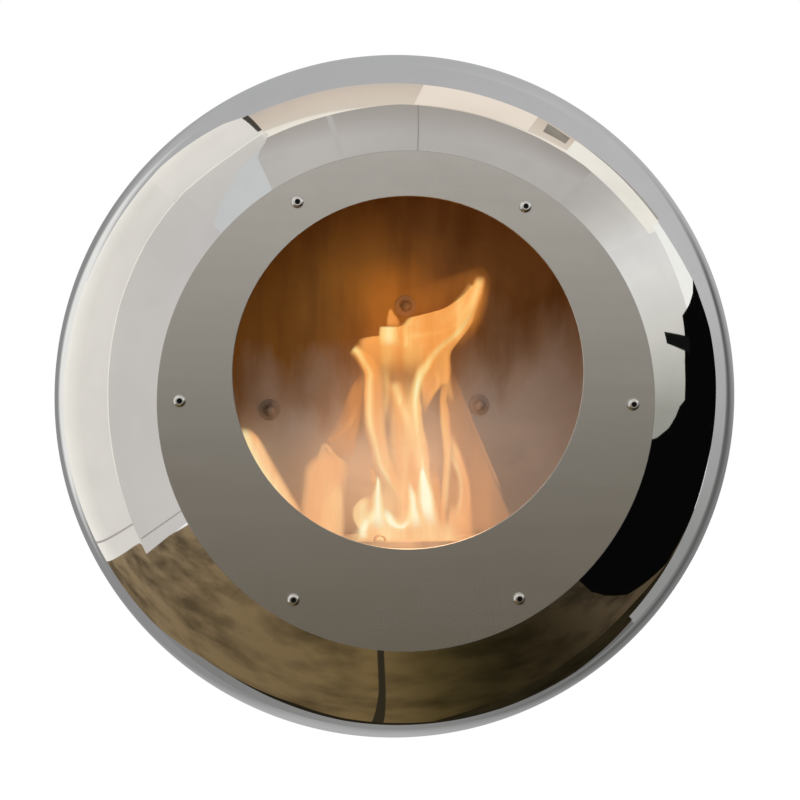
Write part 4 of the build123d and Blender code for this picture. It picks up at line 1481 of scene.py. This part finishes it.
def flat(axis: Axis, level: float, *points: Point2) -> tuple[Point3, ...]:
    """Corners that lie in one plane: each gets the level as its coordinate along the axis.

    Args:
        axis: the direction that the plane is square to.
        level: its place along that direction.
        *points: the other two coordinates of each corner, in the order of X, Y and Z.

    Returns:
        The corners.
    """
    return tuple((*point[:axis.value], level, *point[axis.value:]) for point in points)


@dataclass(frozen=True)
class Card:
    """A studio card: a flat outline with a plain glow that the metal mirrors."""

    name: str
    corners: tuple[Point3, ...]
    colour: Colour
    mottle: float = 0.0
    mottle_scale: float = 3.0
    along: Axis = Axis.X
    span: Point2 = (0.0, 1.0)
    stops: tuple[tuple[float, Colour], ...] = ()
    fine_share: float = 0.35
    broad_scale: float = 0.37
    lump_shade: float = 0.8

    def build(self) -> Piece:
        """Makes the card, hidden from the camera and from shadows.

        Returns:
            The card.
        """
        mesh = bpy.data.meshes.new(self.name)
        mesh.from_pydata(list(self.corners), [], [list(range(len(self.corners)))])
        card = in_scene(self.name, mesh)
        material = bpy.data.materials.new(self.name)
        material.use_nodes = True
        material.node_tree.nodes.clear()
        graph = Graph(material.node_tree)
        glow = graph.add("ShaderNodeEmission")
        out = graph.add("ShaderNodeOutputMaterial")
        place = graph.add("ShaderNodeTexCoord").outputs["Object"]
        colour: object = self.colour
        if self.stops:
            share = graph.spread(graph.parts(place)[self.along.value], *self.span, 0.0, 1.0)
            colour = graph.ramp(share, list(self.stops))
        if self.mottle:
            fine = graph.noise(place, self.mottle_scale, 9.0)
            broad = graph.noise(place, self.mottle_scale * self.broad_scale, 4.0)
            broad_share = 1.0 - self.fine_share
            mixed = graph.plus(graph.times(fine, self.fine_share), graph.times(broad, broad_share))
            lumps = graph.spread(mixed, 0.42, 0.62, 0.0, self.mottle)
            darker = graph.blend(self.lump_shade, colour, (0.0, 0.0, 0.0))
            colour = graph.blend(lumps, colour, darker)
        graph.feed(colour, glow.inputs["Color"])
        graph.join(glow.outputs[0], out.inputs["Surface"])
        mesh.materials.append(material)
        card.visible_camera = False
        card.visible_shadow = False
        return card


Span = tuple[float, float, float, float]
OPEN_LOW: Point2 = (-9.0, -8.0)
OPEN_HIGH: Point2 = (8.0, 9.0)


@dataclass(frozen=True)
class WallCard:
    """The wall behind the fireplace, with painted light and shade and a painted shadow of the fireplace, a
    soft dark streak to the right, that the rim mirrors.
    """

    name: str = "card_wall"
    corners: tuple[Point3, ...] = flat(
        Axis.Y, 0.004, (-0.93, -0.5), (-0.98, -0.85), (-1.0, -1.1), (-1.0, -2.5), (3.0, -2.5), (3.0, 2.5),
        (-1.7, 2.5), (-1.7, 0.6), (-1.25, 0.45), (-1.25, 0.12), (-0.93, 0.02),
    )
    colour: Colour = (0.455, 0.46, 0.465)
    patches: tuple[tuple[Colour, Span, Span], ...] = (
        ((0.52, 0.52, 0.53), (0.1, 0.6, *OPEN_HIGH), (0.1, 0.5, *OPEN_HIGH)),
        ((0.28, 0.28, 0.28), (-0.3, 0.0, *OPEN_HIGH), (*OPEN_LOW, -1.1, -0.6)),
        ((0.22, 0.22, 0.22), (0.05, 0.35, *OPEN_HIGH), (*OPEN_LOW, -0.1, 0.2)),
        ((0.28, 0.28, 0.285), (*OPEN_LOW, -0.35, -0.15), (*OPEN_LOW, 0.25, 0.45)),
        ((0.86, 0.86, 0.85), (*OPEN_LOW, -0.68, -0.54), (-0.42, -0.22, 0.5, 0.9)),
    )
    # Painted shadow of the fireplace on the wall.
    painted_shadow: Colour = (0.115, 0.115, 0.115)
    reach: float = 0.85
    core: float = 0.06
    width: float = 0.34

    def build(self) -> Piece:
        """Makes the card.

        Each patch has a colour and two spans, across and upwards: it fades in over the first two numbers
        of a span and out over the last two. The patches are painted light and shade: in order they are the
        brighter upper right, the dimmer foot, the lower right, the near left and the bright far left. The
        streak is a painted shadow of the fireplace, where the distance from the axis is near its reach, to
        the right and not high up.

        Returns:
            The card.
        """
        card = Card(self.name, self.corners, self.colour).build()
        tree = card.data.materials[0].node_tree
        graph = Graph(tree)
        glow = next(node for node in tree.nodes if node.type == "EMISSION")
        place = graph.add("ShaderNodeTexCoord").outputs["Object"]
        across, _, upward = graph.parts(place)
        # Painted shadow mask: a band at the reach's distance, to the right and low.
        off = graph.maths("ABSOLUTE", graph.maths("SUBTRACT", graph.length(place), self.reach))
        near = graph.spread(off, self.core, self.width, 1.0, 0.0)
        rightward = graph.spread(across, 0.25, 0.6, 0.0, 1.0)
        lowish = graph.spread(upward, 0.25, 0.5, 1.0, 0.0)
        mask = graph.times(graph.times(near, rightward), lowish)
        plain: object = self.colour
        # Painted light and shade patches on the wall.
        for colour, x_span, z_span in self.patches:
            shares = [
                graph.spread(value, *span[start:start + 2], *ends)
                for value, span in ((across, x_span), (upward, z_span))
                for start, ends in ((0, (0.0, 1.0)), (2, (1.0, 0.0)))
            ]
            share = shares[0]
            for other in shares[1:]:
                share = graph.times(share, other)
            plain = graph.blend(share, plain, colour)
        graph.join(graph.blend(mask, plain, self.painted_shadow), glow.inputs["Color"])
        return card


FLOOR_Z = -1.1
CEILING_Z = 1.5
LEFT_X = -1.5
NEAR_LEFT_X = -1.66
RIGHT_X = 2.65
FRONT_Y = -3.2

CARDS: tuple[Card, ...] = (
    Card(
        "card_left_far",
        flat(Axis.X, LEFT_X, (-4.5, -1.3), (-1.22, -1.3), (-1.193, -1.0), (-1.179, -0.83),
             (-1.139, -0.49), (-1.12, -0.2), (-1.106, 0.14), (-1.106, 0.45), (-1.118, 0.57),
             (-1.137, 0.71), (-1.17, 0.92), (-1.26, 1.2), (-1.37, CEILING_Z), (-4.5, CEILING_Z)),
        (0.60, 0.57, 0.55), 0.08, 0.9, Axis.Y, (-3.6, -1.1),
        ((0.0, (0.50, 0.48, 0.47)), (0.55, (0.63, 0.605, 0.59)), (1.0, (0.62, 0.60, 0.57))),
    ),
    Card(
        "card_left_near",
        flat(Axis.X, NEAR_LEFT_X, (-1.6, -1.3), (0.9, -1.3), (0.9, 0.5), (0.3, 1.0), (0.1, CEILING_Z),
             (-1.6, CEILING_Z)),
        (0.9, 0.88, 0.83), 0.06, 0.9, Axis.Y, (-1.3, 0.3),
        ((0.0, (0.76, 0.735, 0.69)), (0.15, (0.77, 0.745, 0.70)), (0.45, (0.775, 0.75, 0.70)),
         (0.70, (0.88, 0.855, 0.80)), (0.85, (0.96, 0.93, 0.87)), (1.0, (0.96, 0.93, 0.87))),
    ),
    # Painted highlight: a thin bright line along the left wall's corner.
    Card(
        "card_left_highlight_line",
        flat(Axis.X, LEFT_X + 0.005, (-1.177, -0.80), (-1.135, -0.49), (-1.116, -0.2), (-1.102, 0.14),
             (-1.102, 0.45), (-1.114, 0.57), (-1.133, 0.71), (-1.166, 0.92), (-1.256, 1.2),
             (-1.355, CEILING_Z - 0.01), (-1.385, CEILING_Z - 0.01), (-1.276, 1.2), (-1.186, 0.92),
             (-1.153, 0.71), (-1.132, 0.57), (-1.12, 0.45), (-1.12, 0.14), (-1.134, -0.2),
             (-1.150, -0.49)),
        (0.93, 0.90, 0.82),
    ),
    Card(
        "card_skirting_far",
        flat(Axis.X, LEFT_X + 0.01, (-4.5, -0.985), (-1.24, -0.965), (-1.24, -0.975), (-4.5, -0.995)),
        (0.30, 0.28, 0.26),
    ),
    Card(
        "card_skirting_near",
        flat(Axis.X, NEAR_LEFT_X + 0.01, (-1.3, -0.93), (0.9, -0.93), (0.9, -0.945), (-1.3, -0.945)),
        (0.42, 0.39, 0.36),
    ),
    Card(
        "card_left_high",
        flat(Axis.Z, CEILING_Z, (NEAR_LEFT_X, 0.1), (-0.9, -0.35), (-0.765, -0.5), (-0.69, -1.0),
             (-0.682, -1.057), (-0.791, -1.117), (-0.876, -1.163), (-0.959, -1.21), (-1.067, -1.25),
             (-1.17, -1.28), (-1.286, -1.312), (-1.426, -1.35), (NEAR_LEFT_X, -1.42)),
        (0.90, 0.85, 0.79), 0.05, 0.9, Axis.Y, (-1.4, 0.0),
        ((0.0, (0.77, 0.745, 0.70)), (0.25, (0.79, 0.765, 0.72)), (0.6, (0.82, 0.79, 0.74)),
         (0.9, (0.91, 0.88, 0.82))),
    ),
    Card(
        "card_left_ceiling",
        flat(Axis.Z, CEILING_Z, (LEFT_X, -4.5), (LEFT_X, -1.37), (-1.426, -1.35), (-1.286, -1.312),
             (-1.17, -1.28), (-1.067, -1.25), (-0.959, -1.21), (-0.876, -1.163), (-0.791, -1.117),
             (-0.682, -1.057), (-0.66, -1.13), (-0.703, -1.283), (-0.987, -1.639), (-1.256, -2.069),
             (-1.669, -2.893)),
        (0.64, 0.61, 0.57), 0.06, 0.9, Axis.Y, (-3.0, -1.0),
        ((0.0, (0.60, 0.585, 0.575)), (0.5, (0.625, 0.60, 0.58)), (0.85, (0.64, 0.615, 0.585)),
         (1.0, (0.70, 0.67, 0.63))),
    ),
    # Painted highlight: a thin bright line along the cornice edge.
    Card(
        "card_cornice_highlight",
        flat(Axis.Z, CEILING_Z - 0.01, (-0.682, -1.052), (-0.959, -1.203), (-1.286, -1.303),
             (-1.49, -1.355), (-1.49, -1.385), (-1.286, -1.328), (-0.959, -1.225), (-0.682, -1.068)),
        (0.95, 0.92, 0.84),
    ),
    Card(
        "card_alcove",
        flat(Axis.Z, CEILING_Z - 0.01, (-0.703, -1.283), (-0.745, -1.36), (-0.786, -1.493),
             (-0.785, -1.83), (-0.784, -2.167), (-1.0, -2.8), (-1.3, -3.6), (-1.9, -3.6),
             (-1.669, -2.893), (-1.256, -2.069), (-0.987, -1.639)),
        (0.60, 0.62, 0.62), 0.05, 0.9,
    ),
    Card(
        "card_beam_end",
        flat(Axis.Z, CEILING_Z - 0.02, (-0.765, -0.50), (-0.725, -0.50), (-0.68, -0.99), (-0.71, -0.99)),
        (0.07, 0.06, 0.05),
    ),
    Card(
        "card_soffit",
        flat(Axis.Z, CEILING_Z, (-0.76, -0.53), (-0.692, -1.195), (-0.455, -1.137), (0.105, -1.016),
             (0.556, -1.039), (0.953, -1.081), (1.385, -1.138), (2.131, -1.355), (3.2, -1.6),
             (3.2, -0.85), (1.669, -0.76), (0.907, -0.638), (0.093, -0.59), (-0.476, -0.572)),
        (0.80, 0.72, 0.62), 0.12, 2.5, Axis.Y, (-1.15, -0.55),
        ((0.0, (0.95, 0.90, 0.80)), (0.14, (0.93, 0.88, 0.78)), (0.2, (0.74, 0.66, 0.56)),
         (0.7, (0.68, 0.58, 0.49)), (1.0, (0.60, 0.53, 0.47))),
    ),
    Card(
        "card_soffit_bright",
        flat(Axis.Z, CEILING_Z - 0.01, (0.21, -0.60), (0.18, -1.0), (0.86, -1.03), (0.87, -0.63)),
        (0.90, 0.80, 0.70), 0.08, 2.5,
    ),
    Card(
        "card_soffit_block",
        flat(Axis.Z, CEILING_Z - 0.02, (0.94, -0.67), (1.13, -0.72), (1.13, -0.91), (0.945, -0.90)),
        (0.34, 0.31, 0.26), 0.3, 6.0,
    ),
    Card(
        "card_soffit_right",
        flat(Axis.Z, CEILING_Z - 0.01, (1.18, -0.70), (3.2, -0.85), (3.2, -1.6), (2.131, -1.35),
             (1.385, -1.13), (1.18, -1.10)),
        (0.93, 0.90, 0.82), 0.10, 2.5,
    ),
    Card(
        "card_ceiling",
        flat(Axis.Z, CEILING_Z + 0.02, (-1.75, -4.5), (4.5, -4.5), (4.5, -0.7), (-1.75, -0.7)),
        (0.44, 0.42, 0.40), 0.12, 1.4, Axis.Y, (-2.4, -1.0),
        ((0.0, (0.52, 0.50, 0.475)), (0.6, (0.52, 0.495, 0.47)), (0.85, (0.43, 0.40, 0.375)),
         (1.0, (0.39, 0.36, 0.33))),
    ),
    Card(
        "card_ceiling_light",
        flat(Axis.Z, CEILING_Z + 0.015, (1.5, -4.5), (3.2, -4.5), (3.2, -1.5), (2.13, -1.3), (1.5, -1.1)),
        (0.66, 0.64, 0.61), 0.10, 1.4, Axis.X, (1.55, 2.65),
        ((0.0, (0.50, 0.475, 0.45)), (0.5, (0.63, 0.61, 0.58)), (1.0, (0.80, 0.79, 0.765))),
    ),
    Card(
        "card_ceiling_line",
        flat(Axis.Z, CEILING_Z + 0.01, (0.2, -1.03), (0.27, -1.95), (0.278, -1.95), (0.208, -1.03)),
        (0.30, 0.28, 0.26),
    ),
    Card(
        "card_ceiling_strip",
        flat(Axis.Z, CEILING_Z + 0.01, (-0.30, -1.1), (-0.24, -2.0), (-0.20, -2.0), (-0.27, -1.1)),
        (0.50, 0.485, 0.46),
    ),
    Card(
        "card_bulkhead",
        flat(Axis.Z, CEILING_Z + 0.03, (-0.9, -0.35), (-0.76, -0.75), (4.5, -0.95), (4.5, 0.05),
             (-1.75, 0.05)),
        (0.50, 0.50, 0.51), 0.0, 1.0, Axis.X, (0.2, 1.6),
        ((0.0, (0.46, 0.46, 0.47)), (1.0, (0.52, 0.52, 0.53))),
    ),
    Card(
        "card_right",
        flat(Axis.X, RIGHT_X, (-4.5, -1.3), (-0.6, -1.3), (-0.6, CEILING_Z + 0.05),
             (-4.5, CEILING_Z + 0.05)),
        (0.80, 0.79, 0.76), 0.14, 0.9, Axis.Z, (-1.1, 1.5),
        ((0.0, (0.30, 0.30, 0.27)), (0.35, (0.36, 0.36, 0.32)), (0.6, (0.70, 0.69, 0.64)),
         (0.85, (0.86, 0.85, 0.82)), (1.0, (0.80, 0.79, 0.77))),
    ),
    Card(
        "card_reveal",
        flat(Axis.X, 1.25, (-0.33, -1.3), (0.02, -1.3), (0.02, 0.46), (-0.33, 0.46)),
        (0.46, 0.46, 0.46), 0.0, 1.0, Axis.Z, (-0.6, 0.4),
        ((0.0, (0.30, 0.30, 0.30)), (1.0, (0.53, 0.53, 0.54))),
    ),
    Card(
        "card_reveal_high",
        flat(Axis.X, RIGHT_X - 0.1, (-1.15, 0.3), (-0.50, 0.3), (-0.546, 0.877), (-0.626, 0.977),
             (-0.77, 1.267), (-0.85, CEILING_Z + 0.05), (-1.15, CEILING_Z + 0.05)),
        (0.94, 0.94, 0.91),
    ),
    Card(
        "card_reveal_rim",
        flat(Axis.X, RIGHT_X - 0.12, (-0.50, 0.5), (0.02, 0.5), (0.02, CEILING_Z + 0.05),
             (-0.85, CEILING_Z + 0.05), (-0.77, 1.267), (-0.626, 0.977), (-0.546, 0.877)),
        (0.52, 0.52, 0.53),
    ),
    Card(
        "card_dark",
        flat(Axis.X, 1.2, (-1.471, -1.146), (-1.0, -1.054), (-0.695, -0.96), (-0.551, -0.857),
             (-0.37, -0.706), (-0.331, -0.488), (-0.335, -0.284), (-0.31, -0.099), (-0.294, 0.042),
             (-0.291, 0.223), (-0.33, 0.341), (-0.347, 0.429), (-0.442, 0.377), (-0.556, 0.337),
             (-0.697, 0.299), (-0.716, 0.225), (-0.762, 0.117), (-0.78, -0.033), (-0.84, -0.06),
             (-0.88, -0.102), (-0.948, -0.151), (-1.065, -0.198), (-1.5, -0.30), (-2.2, -0.6),
             (-2.2, -1.2)),
        (0.002, 0.002, 0.002),
    ),
    Card(
        "card_dark_arm",
        flat(Axis.X, 1.19, (-0.95, 0.245), (-0.66, 0.21), (-0.68, 0.145), (-0.94, 0.195)),
        (0.006, 0.006, 0.006),
    ),
    # The floor's brown darkens towards the right as painted shade, on top of its own mottle.
    Card(
        "card_floor",
        flat(Axis.Z, FLOOR_Z, (-1.50, -4.5), (-1.46, -2.235), (-1.51, -1.751), (-1.54, -1.30),
             (-1.65, -1.279), (-1.684, -0.707), (-1.678, 0.3), (-1.41, 0.17), (-1.16, 0.12),
             (-0.89, -0.12), (-0.71, -0.27), (-0.54, -0.28), (-0.28, -0.22), (-0.1, -0.17),
             (0.087, -0.149), (0.44, -0.10), (0.82, -0.06), (1.35, -0.19), (1.87, -0.38), (3.0, -0.5),
             (3.0, -4.5)),
        (0.13, 0.09, 0.045), 0.75, 6.5, Axis.X, (-1.6, 1.6),
        ((0.0, (0.28, 0.205, 0.12)), (0.28, (0.22, 0.155, 0.080)), (0.5, (0.17, 0.115, 0.048)),
         (0.57, (0.075, 0.053, 0.019)), (0.64, (0.034, 0.025, 0.010)), (0.76, (0.032, 0.023, 0.011)),
         (0.9, (0.085, 0.062, 0.036)), (1.0, (0.09, 0.066, 0.038))),
    ),
    # Painted shadow: the dark line where the floor meets the wall.
    Card(
        "card_floor_shadow_line",
        flat(Axis.Z, FLOOR_Z + 0.01, (-0.66, -0.275), (-0.28, -0.30), (-0.1, -0.23), (0.1, -0.20),
             (0.45, -0.14), (0.8, -0.11), (0.8, -0.055), (0.45, -0.095), (0.1, -0.145), (-0.1, -0.165),
             (-0.28, -0.215), (-0.54, -0.275)),
        (0.018, 0.014, 0.008),
    ),
    Card(
        "card_floor_shade",
        flat(Axis.Z, FLOOR_Z + 0.005, (0.20, -0.19), (0.44, -0.09), (0.82, -0.07), (1.35, -0.2),
             (2.1, -0.44), (1.35, -0.52), (0.8, -0.44), (0.5, -0.36), (0.3, -0.27)),
        (0.022, 0.017, 0.008), 0.6, 9.0,
    ),
    Card(
        "card_floor_back",
        flat(Axis.Z, FLOOR_Z - 0.004, (-1.2, -0.6), (3.0, -0.6), (3.0, 0.3), (-1.2, 0.3)),
        (0.24, 0.24, 0.24), 0.0, 1.0, Axis.X, (-0.6, 0.9),
        ((0.0, (0.23, 0.23, 0.23)), (0.4, (0.28, 0.28, 0.28)), (1.0, (0.15, 0.15, 0.15))),
    ),
    Card(
        "card_floor_joint",
        flat(Axis.Z, FLOOR_Z + 0.01, (0.02, -1.4), (0.05, -1.4), (0.04, -0.7), (0.03, -0.2),
             (-0.01, -0.2), (0.015, -0.7)),
        (0.03, 0.024, 0.014),
    ),
    Card(
        "card_back_ceiling",
        flat(Axis.Z, CEILING_Z + 0.1, (-3.0, -5.0), (5.0, -5.0), (5.0, 0.5), (-3.0, 0.5)),
        (0.58, 0.56, 0.54),
    ),
    Card(
        "card_back_left",
        flat(Axis.X, -2.1, (-5.0, -1.3), (1.0, -1.3), (1.0, 1.7), (-5.0, 1.7)),
        (0.80, 0.77, 0.72),
    ),
    Card(
        "card_back_front",
        flat(Axis.Y, -4.8, (-3.0, -1.3), (-3.0, 1.7), (5.0, 1.7), (5.0, -1.3)),
        (0.55, 0.53, 0.50),
    ),
    Card(
        "card_front",
        flat(Axis.Y, FRONT_Y - 0.3, (-1.8, -1.3), (-1.8, 1.6), (2.8, 1.6), (2.8, -1.3)),
        (0.6, 0.58, 0.55), 0.10, 1.2, Axis.Z, (-1.2, 1.5),
        ((0.0, (0.18, 0.15, 0.105)), (0.24, (0.19, 0.165, 0.125)), (0.34, (0.28, 0.25, 0.215)),
         (0.46, (0.41, 0.40, 0.375)), (0.58, (0.67, 0.655, 0.62)), (0.72, (0.88, 0.86, 0.83)),
         (1.0, (0.60, 0.58, 0.55))),
    ),
)


@dataclass(frozen=True)
class Lamp:
    """One lamp: a soft area lamp, or a warm glow from inside the fire chamber."""

    name: str
    kind: str
    place: Point3
    target: Point3
    power: float
    size: float
    colour: Colour

    def build(self) -> Piece:
        """Makes the lamp.

        Returns:
            The lamp, aimed at its target.
        """
        data = bpy.data.lights.new(self.name, self.kind)
        data.energy = self.power
        data.color = self.colour
        if self.kind == "AREA":
            data.shape = "DISK"
            data.size = self.size
        else:
            data.shadow_soft_size = self.size
        lamp = in_scene(self.name, data)
        lamp.location = self.place
        aim = Vector(self.target) - Vector(self.place)
        lamp.rotation_mode = "QUATERNION"
        lamp.rotation_quaternion = aim.to_track_quat("-Z", "Y")
        lamp.visible_camera = False
        return lamp


WARM = (1.0, 0.50, 0.16)
PEACH = (1.0, 0.62, 0.36)
LAMPS: tuple[Lamp, ...] = (
    Lamp("lamp_key", "AREA", (-1.0, -2.9, 2.3), (0.0, -0.2, 0.0), 45.0, 1.4, (1.0, 0.98, 0.95)),
    Lamp("glow_high", "POINT", (0.015, -0.110, 0.080), (0.0, 0.0, 0.0), 0.055, 0.05, WARM),
    Lamp("glow_low", "POINT", (0.02, -0.130, -0.085), (0.0, 0.0, 0.0), 0.30, 0.05, PEACH),
    Lamp("glow_front", "POINT", (0.01, -0.212, -0.10), (0.0, 0.0, 0.0), 0.12, 0.04, PEACH),
)


@dataclass
class Studio:
    """Camera, floor, cards, lamps and world."""

    lens: float = 78.10
    sensor: float = 36.0
    place: Point3 = (-0.16512, -1.69865, 0.06702)
    turn: float = 6.185
    dip: float = 2.549
    roll: float = 0.725
    floor_half: float = 6.0
    floor_colour: Colour = (0.80, 0.79, 0.77)
    floor_white: float = 1.045

    def camera(self) -> Piece:
        """Makes the camera at the photograph's angle.

        Returns:
            The camera.
        """
        turn, dip, roll = (math.radians(v) for v in (self.turn, self.dip, self.roll))
        ahead = Vector((math.sin(turn) * math.cos(dip), math.cos(turn) * math.cos(dip), -math.sin(dip)))
        level = ahead.cross(Vector((0, 0, 1))).normalized()
        upright = level.cross(ahead)
        right = level * math.cos(roll) + upright * math.sin(roll)
        up = upright * math.cos(roll) - level * math.sin(roll)
        data = bpy.data.cameras.new("camera")
        data.lens = self.lens
        data.sensor_width = self.sensor
        camera = in_scene("camera", data)
        turned = Matrix((right, up, -ahead)).transposed().to_4x4()
        camera.matrix_world = Matrix.Translation(self.place) @ turned
        bpy.context.scene.camera = camera
        return camera

    def seen(self, graph: Graph, path: Node) -> Socket:
        """Tells whether the camera sees a surface, straight or through metal and glass.

        Args:
            graph: the graph that asks.
            path: its Light Path node.

        Returns:
            1 for such rays and 0 for the rest.
        """
        direct = graph.maths("MAXIMUM", path.outputs["Is Camera Ray"], path.outputs["Is Glossy Ray"])
        return graph.maths("MAXIMUM", direct, path.outputs["Is Transmission Ray"])

    def world(self) -> None:
        """Makes the world: white behind the object, and a soft grey light everywhere else."""
        world = bpy.data.worlds.new("studio")
        bpy.context.scene.world = world
        world.use_nodes = True
        world.node_tree.nodes.clear()
        graph = Graph(world.node_tree)
        path = graph.add("ShaderNodeLightPath")
        soft, white = graph.add("ShaderNodeBackground"), graph.add("ShaderNodeBackground")
        soft.inputs["Color"].default_value = (0.72, 0.72, 0.72, 1.0)
        mixed, out = graph.add("ShaderNodeMixShader"), graph.add("ShaderNodeOutputWorld")
        graph.join(self.seen(graph, path), mixed.inputs[0])
        graph.join(soft.outputs[0], mixed.inputs[1])
        graph.join(white.outputs[0], mixed.inputs[2])
        white.inputs["Color"].default_value = (1.0, 1.0, 1.0, 1.0)
        graph.join(mixed.outputs[0], out.inputs["Surface"])

    def floor(self) -> Piece:
        """Makes the plain pale floor, which the camera sees as white where nothing shades it.

        Returns:
            The floor.
        """
        half = self.floor_half
        corners = flat(Axis.Z, FLOOR_Z - 0.01, (-half, -half), (half, -half), (half, half), (-half, half))
        mesh = bpy.data.meshes.new("floor")
        mesh.from_pydata(list(corners), [], [[0, 1, 2, 3]])
        floor = in_scene("floor", mesh)
        material = bpy.data.materials.new("floor")
        material.use_nodes = True
        graph = Graph(material.node_tree)
        nodes = material.node_tree.nodes
        nodes["Principled BSDF"].inputs["Base Color"].default_value = (*self.floor_colour, 1.0)
        nodes["Principled BSDF"].inputs["Roughness"].default_value = 0.9
        white = graph.add("ShaderNodeEmission")
        white.inputs["Strength"].default_value = self.floor_white
        path = graph.add("ShaderNodeLightPath")
        mixed = graph.add("ShaderNodeMixShader")
        graph.join(graph.times(self.seen(graph, path), 0.9), mixed.inputs[0])
        graph.join(nodes["Principled BSDF"].outputs[0], mixed.inputs[1])
        graph.join(white.outputs[0], mixed.inputs[2])
        graph.join(mixed.outputs[0], nodes["Material Output"].inputs["Surface"])
        mesh.materials.append(material)
        return floor

    def build(self) -> None:
        """Makes the whole studio."""
        self.camera()
        self.world()
        self.floor()
        for item in (*CARDS, WallCard(), *LAMPS):
            item.build()
        view = bpy.context.scene.view_settings
        view.view_transform = "Standard"
        bpy.context.scene.cycles.transparent_max_bounces = 40


def main() -> None:
    """Builds the studio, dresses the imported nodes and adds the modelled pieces."""
    logging.basicConfig(level=logging.INFO, format="%(name)s: %(message)s")
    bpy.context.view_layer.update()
    Studio().build()
    dressing = Dressing()
    dressing.dress_nodes()
    dressing.place(MirrorDome().build(), "fireplace", "mirror_steel", "front_shell")
    wool = WoolBlock().build()
    dressing.place(wool, "burner", "ceramic_wool", "ceramic_wool")
    for piece in Flames().build(Flame("flame").build()):
        log.info("piece %s on burner, %d faces", piece.name, len(piece.data.polygons))


if __name__ == "__main__":
    main()
